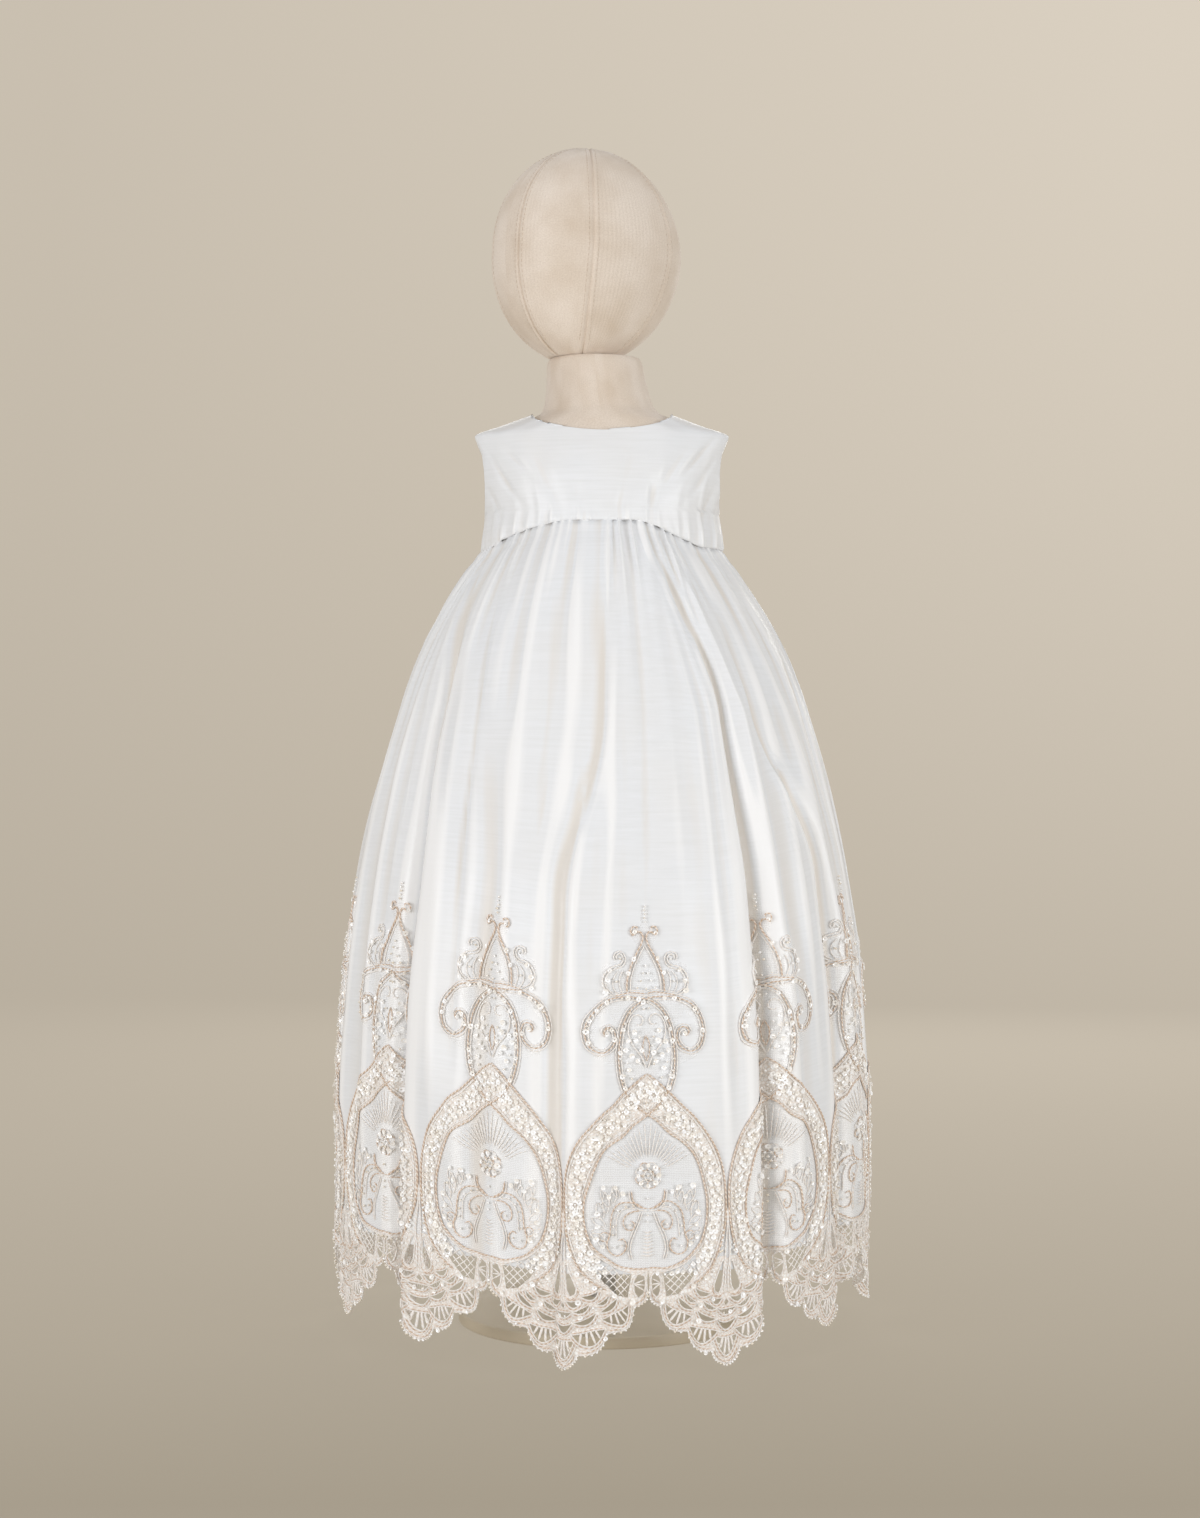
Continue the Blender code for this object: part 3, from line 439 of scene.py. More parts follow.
def bodice_rows(back, first, last, columns, rows_above, rows_below):
    """Angles and heights of a bodice piece's grid, rows from the neck down to the waist."""
    across = np.linspace(first, last, columns + 1)
    middle = 180.0 if back else 0.0
    angles, heights = [], []
    for step in range(rows_above + 1):
        up = math.sin(0.5 * math.pi * (1.0 - step / rows_above))
        armhole = ARMHOLE_ANGLE * math.sin(math.pi * up) ** 0.5 if 0 < up < 1 else 0.0
        on_shoulder = abs(across) > SHOULDER_SHARE
        top_angle = 90.0 * np.clip(across / SHOULDER_SHARE, -1.0, 1.0)
        along = (1.0 - abs(across)) / (1.0 - SHOULDER_SHARE)
        neck = neckline(top_angle + middle)
        shoulder = SHOULDER_TIP + (NECK_POINT - SHOULDER_TIP) * along
        top = np.where(on_shoulder, shoulder, neck)
        angles.append(90.0 * across * (1 - up) + top_angle * up - armhole * across + middle)
        heights.append(UNDERARM + (top - UNDERARM) * up)
    for step in range(1, rows_below + 1):
        angle = 90.0 * across + middle
        foot = SIDE_WAIST + arch(angle) + WAIST_SEAM / 2
        angles.append(angle)
        heights.append(UNDERARM + (foot - UNDERARM) * step / rows_below)
    return np.array(angles), np.array(heights)


# ---- meshes ---------------------------------------------------------------------------------
def grid_normals(grid, closed=False):
    """Outward normals of a grid with rows from the top down and columns to the wearer's left."""
    if closed:
        grid = np.concatenate([grid[:, -2:-1], grid, grid[:, 1:2]], axis=1)
    across, down = np.gradient(grid, axis=1), np.gradient(grid, axis=0)
    normals = unit(np.cross(down, across))
    return normals[:, 1:-1] if closed else normals


def new_piece(name, points, faces, material, uv=None):
    """A piece from points in millimetres and an array of faces that all have as many sides.

    uv is by point, or by face corner."""
    points, faces = np.asarray(points, float), np.asarray(faces)
    mesh = bpy.data.meshes.new(name)
    mesh.vertices.add(len(points))
    mesh.vertices.foreach_set("co", (points * MM).ravel())
    mesh.loops.add(faces.size)
    mesh.loops.foreach_set("vertex_index", faces.ravel())
    mesh.polygons.add(len(faces))
    mesh.polygons.foreach_set("loop_start", np.arange(0, faces.size, faces.shape[1]))
    if uv is not None:
        layer = mesh.uv_layers.new(name="cloth")
        uv = np.asarray(uv, float)
        layer.uv.foreach_set("vector", (uv if len(uv) == faces.size else uv[faces.ravel()]).ravel())
    mesh.update(calc_edges=True)
    mesh.validate()
    mesh.polygons.foreach_set("use_smooth", np.full(len(mesh.polygons), True))
    mesh.materials.append(material)
    piece = bpy.data.objects.new(name, mesh)
    bpy.context.scene.collection.objects.link(piece)
    return piece


def grid_quads(rows, columns):
    corner = (np.arange(rows - 1)[:, None] * columns + np.arange(columns - 1)[None]).ravel()
    return np.stack([corner, corner + columns, corner + columns + 1, corner + 1], axis=1)


def standing_out(grid, normals, reach):
    """How far each point stands out from the smooth line of its row; below 0 in a hollow."""
    weights = np.hanning(2 * reach + 3)[1:-1]
    wide = np.pad(grid, ((0, 0), (reach, reach), (0, 0)), mode="edge")
    level = sum(w * wide[:, k:k + grid.shape[1]] for k, w in enumerate(weights / weights.sum()))
    return ((grid - level) * normals).sum(axis=2)


def cloth_shell(name, outer, normals, material, uv, reach):
    """A thin closed sheet: the grid outside, the same grid moved in, and its rim."""
    rows, columns = outer.shape[:2]
    inner = outer - normals * SILK_THICKNESS
    inside = rows * columns
    quads = grid_quads(rows, columns)
    rim = np.concatenate([np.arange(columns), np.arange(1, rows) * columns + columns - 1,
                          (rows - 1) * columns + np.arange(columns - 2, -1, -1),
                          np.arange(rows - 2, 0, -1) * columns])
    after = np.roll(rim, -1)
    edge = np.stack([rim, after, after + inside, rim + inside], axis=1)
    faces = np.concatenate([quads, quads[:, ::-1] + inside, edge])
    points = np.concatenate([outer.reshape(-1, 3), inner.reshape(-1, 3)])
    piece = new_piece(name, points, faces, material, np.concatenate([uv.reshape(-1, 2)] * 2) * MM)
    # The relief drives the silk's painted shade in its hollows and painted highlight on its crests.
    relief = standing_out(outer, normals, reach).ravel()
    layer = piece.data.attributes.new("relief", "FLOAT", "POINT")
    layer.data.foreach_set("value", np.concatenate([relief, -relief]))
    return piece


# ---- materials ------------------------------------------------------------------------------
def linear(code):
    """An sRGB hex colour as linear red, green, blue and alpha."""
    parts = [int(code[i:i + 2], 16) / 255 for i in (1, 3, 5)]
    return (*[c / 12.92 if c <= 0.04045 else ((c + 0.055) / 1.055) ** 2.4 for c in parts], 1.0)


def feed(tree, made, **inputs):
    """Sets a node's inputs to a value, or to the output that feeds it; in0, in1 are by number."""
    for name, value in inputs.items():
        key = int(name[2:]) if name[:2] == "in" and name[2:].isdigit() else name.replace("_", " ")
        if isinstance(value, bpy.types.NodeSocket):
            tree.links.new(value, made.inputs[key])
        else:
            made.inputs[key].default_value = value


def node(tree, kind, settings=None, **inputs):
    """Adds a node with its settings and inputs."""
    made = tree.nodes.new(kind)
    for name, value in (settings or {}).items():
        setattr(made, name, value)
    feed(tree, made, **inputs)
    return made


def new_material(name):
    material = bpy.data.materials.new(name)
    material.use_nodes = True
    tree = material.node_tree
    return material, tree, tree.nodes["Principled BSDF"]


def noise(tree, coords, scale, detail, **more):
    """Cloudy noise, its scale in patches to a unit of the coordinates."""
    return node(tree, "ShaderNodeTexNoise", Vector=coords, Scale=scale, Detail=detail, **more)


def reckon(tree, operation, *values):
    """Arithmetic on outputs and numbers."""
    return node(tree, "ShaderNodeMath", {"operation": operation},
                **{f"in{k}": value for k, value in enumerate(values)})


def ramp(tree, source, low, high, at_low, at_high):
    """A value carried evenly from one range to another and held at both ends."""
    return node(tree, "ShaderNodeMapRange", in0=source, in1=low, in2=high, in3=at_low, in4=at_high)


def blend(tree, share, first, second):
    """A mix of two colours, each an sRGB hex code or the output that feeds it."""
    first, second = (linear(c) if isinstance(c, str) else c for c in (first, second))
    return node(tree, "ShaderNodeMixRGB", in0=share, in1=first, in2=second)


def paint_glow(shader, colour, share):
    """Painted glow: a faint emission in the given colour, standing in for what fine threads and clear beads
    pass on into each other's shade.
    """
    shader.inputs["Emission Color"].default_value = linear(colour)
    shader.inputs["Emission Strength"].default_value = share


def shantung_silk():
    """Silk shantung: plain weave with thick weft slubs, a soft satin sheen across the folds."""
    material, tree, shader = new_material("silk_shantung")
    coords = node(tree, "ShaderNodeUVMap", {"uv_map": "cloth"})
    # Weft slubs are 20 to 60 mm long and 0.5 mm high; they are drawn 2 mm high so they show.
    weft = node(tree, "ShaderNodeMapping", Vector=coords.outputs[0], Scale=(24.0, 470.0, 1.0))
    slubs = noise(tree, weft.outputs[0], 1.0, 3.0, Roughness=0.6)
    warp = node(tree, "ShaderNodeMapping", Vector=coords.outputs[0], Scale=(700.0, 40.0, 1.0))
    threads = noise(tree, warp.outputs[0], 1.0, 2.0)
    cloud = noise(tree, coords.outputs[0], 14.0, 2.0)
    weave = reckon(tree, "MULTIPLY_ADD", threads.outputs[0], 0.45, slubs.outputs[0])
    thick = ramp(tree, slubs.outputs[0], 0.35, 0.72, 0.0, 1.0)
    tone = blend(tree, thick.outputs[0], "#f1f3f6", "#ebedef")
    warmth = ramp(tree, cloud.outputs[0], 0.4, 0.7, 0.0, 0.35)
    colour = blend(tree, warmth.outputs[0], tone.outputs[0], "#efedea")
    # Painted shade and highlight: hollows are tinted a darker cream as shade, and the crest of a fold is
    # tinted white as a highlight.
    relief = node(tree, "ShaderNodeAttribute", {"attribute_name": "relief"})
    hollow = ramp(tree, relief.outputs["Fac"], -0.15, -1.4, 0.0, 0.7)
    painted_hollow_shade = blend(tree, hollow.outputs[0], colour.outputs[0], "#e7dfd4")
    painted_crest_highlight = ramp(tree, relief.outputs["Fac"], 0.4, 1.3, 0.0, 0.8)
    colour = blend(tree, painted_crest_highlight.outputs[0], painted_hollow_shade.outputs[0], "#ffffff")
    bump = node(tree, "ShaderNodeBump", Strength=0.17, Distance=0.0003, Height=weave.outputs[0])
    feed(tree, shader, Base_Color=colour.outputs[0], Normal=bump.outputs[0], Roughness=0.40, IOR=1.45,
         Sheen_Weight=0.25, Sheen_Roughness=0.4)
    return material


def lace_net():
    """Cotton tulle: hexagonal net of fine twisted thread, mostly holes."""
    material, tree, shader = new_material("tulle_net")
    coords = node(tree, "ShaderNodeUVMap", {"uv_map": "cloth"})
    # Tulle has holes of about 1.2 mm; its threads of 0.1 mm are drawn 0.3 mm wide so they show.
    cells = node(tree, "ShaderNodeTexVoronoi", {"feature": "DISTANCE_TO_EDGE"},
                 Vector=coords.outputs[0], Scale=800.0, Randomness=0.35)
    thread = ramp(tree, cells.outputs[0], 0.08, 0.16, 0.18, 0.0)
    feed(tree, shader, Alpha=thread.outputs[0], Base_Color=linear("#fdfaf6"), Roughness=0.7)
    return material


def lace_filling():
    """Rayon embroidery: dense satin stitches over the net, with small openings between them."""
    material, tree, shader = new_material("rayon_embroidery")
    coords = node(tree, "ShaderNodeUVMap", {"uv_map": "cloth"})
    # Stitch bundles are 1.5 to 3 mm wide, of threads of 0.3 mm.
    bundles = node(tree, "ShaderNodeTexVoronoi", {"feature": "DISTANCE_TO_EDGE"},
                   Vector=coords.outputs[0], Scale=420.0, Randomness=1.0)
    swirl = noise(tree, coords.outputs[0], 260.0, 3.0, Distortion=1.6)
    threads = node(tree, "ShaderNodeTexWave", Vector=coords.outputs[0], Scale=330.0, Distortion=9.0,
                   Detail=2.0, Detail_Scale=1.5)
    cover = ramp(tree, swirl.outputs[0], 0.36, 0.5, 0.86, 1.0)
    # Painted shade: the tone darkens towards the edges of the stitch bundles, where they dip between each
    # other.
    shade = ramp(tree, bundles.outputs[0], 0.0, 0.22, 0.0, 1.0)
    tone = blend(tree, shade.outputs[0], "#eadfd4", "#fefdfb")
    blush = ramp(tree, swirl.outputs[0], 0.5, 0.75, 0.0, 0.4)
    colour = blend(tree, blush.outputs[0], tone.outputs[0], "#faf5f2")
    relief = reckon(tree, "MULTIPLY_ADD", threads.outputs[1], 0.35, shade.outputs[0])
    bump = node(tree, "ShaderNodeBump", Strength=0.3, Distance=0.0005, Height=relief.outputs[0])
    feed(tree, shader, Alpha=cover.outputs[0], Base_Color=colour.outputs[0], Normal=bump.outputs[0],
         Roughness=0.5, Sheen_Weight=0.2)
    # Painted glow: a faint emission that stands in for light passed on through the threads.
    paint_glow(shader, "#fffaf5", 0.015)
    return material


def gimp_cord(name, lit_colour, shaded_colour):
    """Gimp cord: rayon thread twisted round a core, with painted glints and shade in short slanting bars."""
    material, tree, shader = new_material(name)
    coords = node(tree, "ShaderNodeUVMap", {"uv_map": "cloth"})
    # The twist repeats every 1.6 mm; u runs along the cord and v round it.
    twist = node(tree, "ShaderNodeTexWave", {"bands_direction": "DIAGONAL"}, Vector=coords.outputs[0],
                 Scale=190.0, Distortion=0.6, Detail=1.0)
    patches = noise(tree, coords.outputs[0], 95.0, 2.0)
    mixed = reckon(tree, "MULTIPLY", twist.outputs[1], patches.outputs[0])
    # Painted glint and shade: the twist's crests take the lit colour and the grooves between them the shaded
    # colour, in uneven patches.
    shade = ramp(tree, mixed.outputs[0], 0.08, 0.5, 0.0, 1.0)
    colour = blend(tree, shade.outputs[0], shaded_colour, lit_colour)
    bump = node(tree, "ShaderNodeBump", Strength=0.4, Distance=0.0003, Height=twist.outputs[1])
    feed(tree, shader, Base_Color=colour.outputs[0], Normal=bump.outputs[0], Roughness=0.38,
         Specular_IOR_Level=0.6)
    # Painted glow: a faint emission in the lit colour.
    paint_glow(shader, lit_colour, 0.05)
    return material


def pearl_sequin():
    """Iris-finished PET sequins: pale, glossy and slightly iridescent."""
    material, tree, shader = new_material("iris_sequins")
    coords = node(tree, "ShaderNodeTexCoord")
    # One patch of colour covers about two sequins, 5 mm.
    patches = noise(tree, coords.outputs["Object"], 210.0, 0.0)
    shade = ramp(tree, patches.outputs[0], 0.38, 0.62, 0.0, 1.0)
    colour = blend(tree, shade.outputs[0], "#f8f3eb", "#ffffff")
    feed(tree, shader, Base_Color=colour.outputs[0], Roughness=0.16, Specular_IOR_Level=0.9,
         Coat_Weight=0.8, Coat_Roughness=0.05)
    # Painted glow: a faint white emission from the sequins.
    paint_glow(shader, "#ffffff", 0.10)
    return material


def glass_bead():
    """Silver-lined glass seed beads: bright rims over a grey-gold lining."""
    material, tree, shader = new_material("silver_lined_beads")
    coords = node(tree, "ShaderNodeTexCoord")
    # Beads of 2 mm differ from one to the next.
    patches = noise(tree, coords.outputs["Object"], 330.0, 0.0)
    shade = ramp(tree, patches.outputs[0], 0.4, 0.6, 0.0, 1.0)
    colour = blend(tree, shade.outputs[0], "#ece2d2", "#ffffff")
    feed(tree, shader, Base_Color=colour.outputs[0], Metallic=0.05, Roughness=0.12, Coat_Weight=1.0,
         Coat_Roughness=0.03)
    # Painted glow: a faint emission from the beads.
    paint_glow(shader, "#fffaf0", 0.05)
    return material


def form_jersey():
    """Cotton jersey stretched over foam: fine knit ribs, matt, a little yellowed."""
    material, tree, shader = new_material("cotton_jersey")
    coords = node(tree, "ShaderNodeUVMap", {"uv_map": "cloth"})
    # Knit ribs are 0.8 mm apart; they are drawn 1.6 mm apart so they show.
    ribs = node(tree, "ShaderNodeTexWave", Vector=coords.outputs[0], Scale=98.0, Distortion=0.8,
                Detail=1.0, Detail_Scale=2.0)
    fuzz = noise(tree, coords.outputs[0], 900.0, 2.0)
    stain = noise(tree, coords.outputs[0], 22.0, 3.0)
    height = reckon(tree, "MULTIPLY_ADD", fuzz.outputs[0], 0.7, ribs.outputs[1])
    tone = ramp(tree, stain.outputs[0], 0.35, 0.7, 0.0, 1.0)
    base = blend(tree, tone.outputs[0], "#f2e6d9", "#dfcfbd")
    grain = ramp(tree, fuzz.outputs[0], 0.3, 0.7, 0.0, 0.3)
    colour = blend(tree, grain.outputs[0], base.outputs[0], "#b5a38f")
    bump = node(tree, "ShaderNodeBump", Strength=0.4, Distance=0.0003, Height=height.outputs[0])
    feed(tree, shader, Base_Color=colour.outputs[0], Normal=bump.outputs[0], Roughness=0.85,
         Sheen_Weight=0.3)
    return material


def brushed_steel():
    """Brushed stainless steel: fine rings left by the belt round the tube."""
    material, tree, shader = new_material("brushed_steel")
    coords = node(tree, "ShaderNodeTexCoord")
    # Brush lines are under 0.2 mm apart; they are drawn 0.8 mm apart.
    lines = node(tree, "ShaderNodeMapping", Vector=coords.outputs["Object"], Scale=(40.0, 40.0, 1250.0))
    grain = noise(tree, lines.outputs[0], 1.0, 3.0)
    tone = blend(tree, grain.outputs[0], "#b4b4b6", "#d2d2d3")
    rough = ramp(tree, grain.outputs[0], 0.3, 0.7, 0.26, 0.42)
    feed(tree, shader, Base_Color=tone.outputs[0], Roughness=rough.outputs[0], Metallic=1.0)
    return material


def satin_paint():
    """Painted steel: beige satin powder coat with a fine orange-peel surface."""
    material, tree, shader = new_material("beige_satin_paint")
    coords = node(tree, "ShaderNodeTexCoord")
    # Orange peel has waves of about 2 mm.
    peel = noise(tree, coords.outputs["Object"], 500.0, 1.0)
    wear = noise(tree, coords.outputs["Object"], 30.0, 4.0)
    tone = blend(tree, wear.outputs[0], "#c2b6a1", "#b9ad97")
    bump = node(tree, "ShaderNodeBump", Strength=0.25, Distance=0.0002, Height=peel.outputs[0])
    feed(tree, shader, Base_Color=tone.outputs[0], Normal=bump.outputs[0], Roughness=0.42)
    return material


def backdrop_paper():
    """Seamless backdrop paper, matt, with painted shading: its colour and glow are brighter at its top and
    right than at its foot.
    """
    material, tree, shader = new_material("backdrop_paper")
    coords = node(tree, "ShaderNodeTexCoord")
    parts = node(tree, "ShaderNodeSeparateXYZ", Vector=coords.outputs["Object"])
    gains = []
    # Painted light: the paper is coloured and glows brighter further back, higher up and towards the right.
    for part, begins, fades, gain in ((1, -0.5, 1.18, 0.36), (2, 0.0, 0.6, 0.44)):
        past = reckon(tree, "SUBTRACT", parts.outputs[part], begins)
        away = reckon(tree, "ABSOLUTE", past.outputs[0])
        left = reckon(tree, "POWER", math.exp(-fades), away.outputs[0])
        gains.append(ramp(tree, left.outputs[0], 1.0, 0.0, 0.0, gain))
    place = reckon(tree, "ADD", gains[0].outputs[0], gains[1].outputs[0])
    side = ramp(tree, parts.outputs[0], -1.3, 1.3, 0.81, 1.23)
    lit = reckon(tree, "MULTIPLY", place.outputs[0], side.outputs[0])
    tone = blend(tree, lit.outputs[0], "#aca291", "#eee4d5")
    grain = noise(tree, coords.outputs["Object"], 700.0, 2.0)
    speck = ramp(tree, grain.outputs[0], 0.3, 0.7, 0.0, 0.05)
    colour = blend(tree, speck.outputs[0], tone.outputs[0], "#9c9281")
    glow = node(tree, "ShaderNodeEmission", Color=colour.outputs[0], Strength=1.0)
    feed(tree, shader, Base_Color=colour.outputs[0], Roughness=1.0, Specular_IOR_Level=0.0)
    mix = node(tree, "ShaderNodeMixShader", in0=0.80, in1=shader.outputs[0], in2=glow.outputs[0])
    tree.links.new(mix.outputs[0], tree.nodes["Material Output"].inputs["Surface"])
    return material


# ---- the gown's cloth -----------------------------------------------------------------------
def skirt_heights():
    """Row heights from the waist down: close at the gathers, wider below."""
    heights = [SIDE_WAIST + SEAM_ALLOWANCE]
    while heights[-1] > HEM_HEIGHT + 4.0:
        below = SIDE_WAIST - heights[-1]
        heights.append(heights[-1] - np.interp(below, ROW_DISTANCES, ROW_SPACINGS))
    return np.array(heights[:-1] + [HEM_HEIGHT + HEM_TURNING, HEM_HEIGHT])


def make_skirt(silk):
    """The two skirt panels, which meet at the side seams."""
    girth = math.pi * (HEM_WIDTH + HEM_DEPTH)
    for name, start in (("skirt_front", -SIDE_SEAM), ("skirt_back", SIDE_SEAM)):
        columns = int(0.5 * girth / HEM_SPACING)
        hem = start + 180.0 * np.arange(columns + 1) / columns
        heights = skirt_heights()
        grid = skirt_point(hem[None, :], heights[:, None])
        grid[:, 0] += unit(grid[:, 1] - grid[:, 0]) * SEAM / 2
        grid[:, -1] += unit(grid[:, -2] - grid[:, -1]) * SEAM / 2
        uv = np.stack(np.broadcast_arrays(np.radians(hem)[None] * 0.5 * (HEM_WIDTH + HEM_DEPTH),
                                          heights[:, None]), axis=-1)
        piece = cloth_shell(name + "_silk", grid, grid_normals(grid), silk, uv, SKIRT_RELIEF_REACH)
        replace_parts(piece, name)
        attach(piece, "root")


def make_bodice(silk):
    """The bodice front and the two back halves, puckered along the waist seam."""
    half = BODICE_COLUMNS // 2
    pieces = (("bodice_front", False, -1.0, 1.0, BODICE_COLUMNS, (0.285, 0.108), 0.0235),
              ("bodice_back_left", True, -1.0, 0.0, half, (0.143, 0.108), 0.0125),
              ("bodice_back_right", True, 0.0, 1.0, half, (0.143, 0.108), 0.0125))
    for name, back, first, last, columns, flat, area in pieces:
        angles, heights = bodice_rows(back, first, last, columns, *BODICE_ROWS)
        grid = bodice_point(angles, heights)
        # The side stays straight past the armhole, where the rows stop short of it.
        grid[..., 0] /= abs(np.sin(np.radians(angles))).max(axis=1)[:, None]
        normals = grid_normals(grid)
        above = heights - (SIDE_WAIST + arch(angles) + WAIST_SEAM / 2)
        out = ruffled(angles, above, PUCKERS) - 0.9 * np.exp(-above / 14.0)
        out -= 0.6 * np.exp(-(above / 1.3) ** 2)
        turn = np.radians(angles)
        out += 0.22 * np.sin(11 * turn + 0.06 * heights) + 0.16 * np.sin(23 * turn - 0.09 * heights)
        for angle, height, tilt, reach, length, dip in BODICE_CREASES:
            across = away_from(angles, angle) * 1.3 - (heights - height) * tilt
            out -= 1.3 * dip * np.exp(-(across / reach) ** 2) * np.exp(-((heights - height) / length) ** 2)
        at_edge = np.ones(angles.shape)
        at_edge[0] = 0.0
        grid = grid + normals * (out * at_edge)[..., None]
        at_side = abs(grid[..., 1]) < 0.01
        at_side[:, 1:-1] &= heights[:, 1:-1] > SHOULDER_TIP - 30
        normals = grid_normals(grid)
        grid[at_side, 1] += (1.0 if back else -1.0) * SEAM / 2
        normals[at_side, 1] = 0.0
        if back:
            at_centre = abs(grid[..., 0]) < 0.01
            grid[at_centre, 0] += (1.0 if last == 0.0 else -1.0) * SEAM / 2
            normals[at_centre, 0] = 0.0
        normals = unit(normals)
        uv = np.stack([turn * 88.0, heights], axis=-1)
        piece = cloth_shell(name + "_silk", grid, normals, silk, uv, BODICE_RELIEF_REACH)
        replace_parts(piece, name)
        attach(piece, "root")


# ---- the lace border, drawn flat ------------------------------------------------------------
# One repeat: x from its centre line, t up from the border's lowest point. Tables give the right
# half; the left half mirrors it. The point between two repeats is at x = 59.
# Its main curves were read off enlarged crops of the photograph, point after point, which the
# work order doesn't allow. They have to be redrawn before any reuse; see report.md.
HALF_REPEAT = 59.0
UPPER_OUTLINE = (
    (0.0, 322.0), (3.0, 319.0), (3.0, 308.0), (10.5, 301.0), (5.0, 294.0),
    (12.5, 281.0), (13.0, 270.0), (21.0, 284.0), (31.5, 281.0), (33.0, 268.0), (26.0, 256.5),
    (39.0, 249.0), (43.0, 233.0), (37.0, 217.0), (25.0, 211.5), (20.5, 214.0), (18.5, 200.0),
    (15.5, 193.5), (36.0, 174.5), (51.5, 152.5), (57.0, 131.0),
)
ARCH_FOOT_HEIGHT = 119.0
SCROLL_GAP = ((21.5, 222.0), (22.5, 240.0), (29.0, 249.0), (36.5, 242.0), (37.5, 228.0), (31.0, 217.0))
CROWN_GAP = ((16.5, 266.0), (21.5, 277.5), (28.0, 275.5), (27.0, 264.0))
TEARDROP_GAP = ((52.6, 50.8), (49.8, 52.6), (49.2, 56.0), (51.2, 61.0), (53.8, 66.5), (56.2, 73.0),
                (56.0, 62.5), (54.9, 55.0))
LEAF_GAP = ((3.4, 52.5), (2.6, 58.0), (3.0, 64.2), (7.0, 66.2), (9.6, 61.0), (8.8, 53.4), (6.6, 49.6))
DIAMOND_GAP = ((59.0, 45.2), (56.9, 43.1), (59.0, 40.8))
# The scalloped edge from the lowest point to the notch under a medallion.
Scallop = namedtuple("Scallop", "start end sag")
SCALLOPS = (
    Scallop((59.0, -1.2), (47.5, 10.0), 2.6),
    Scallop((47.5, 10.0), (29.0, 24.5), 6.0),
    Scallop((29.0, 24.5), (9.0, 43.0), 6.5),
    Scallop((9.0, 43.0), (0.7, 56.0), 3.6),
)
LATTICE = ((11.5, 66.5), (20.0, 69.5), (28.5, 73.0), (35.0, 77.5), (36.5, 68.0), (30.0, 58.5),
           (22.0, 51.5), (14.0, 50.5))
LATTICE_PITCH = 3.9

ROSE, WHITE = "rose", "white"
# Cords: yarn, radius, how far off a white one runs beside it (to its left), and its points.
Cord = namedtuple("Cord", "yarn radius beside points")
OUTER_ARCH = ((29.0, 54.5), (38.0, 60.5), (46.5, 69.0), (52.5, 80.0), (56.0, 92.0), (57.6, 104.0),
              (58.0, 116.0), (57.4, 128.0), (55.6, 139.0), (51.5, 151.0), (45.0, 162.5),
              (36.0, 173.5), (26.0, 183.0), (15.5, 193.5), (7.0, 201.0), (0.0, 205.5))
INNER_OVAL = ((0.0, 70.0), (12.0, 70.5), (22.0, 73.0), (31.0, 78.0), (37.5, 85.0), (41.3, 95.0),
              (43.2, 106.0), (43.2, 118.0), (41.0, 129.0), (38.0, 139.5), (33.5, 148.5),
              (25.5, 157.0), (16.0, 164.5), (8.0, 171.5), (0.0, 176.5))
VASE_AND_SCROLL = ((0.0, 176.5), (-8.0, 184.0), (-15.5, 193.5), (-18.5, 202.0), (-20.3, 214.0),
                   (-19.8, 228.0), (-17.5, 240.0), (-12.0, 250.0), (-3.0, 256.0), (5.0, 258.5),
                   (16.0, 259.6), (26.5, 257.5), (35.5, 252.0), (41.5, 243.0), (43.0, 233.0),
                   (39.5, 224.0), (32.0, 220.5), (26.0, 223.5), (22.8, 230.0), (25.0, 236.5),
                   (30.0, 237.5), (32.0, 233.5), (29.5, 231.0))
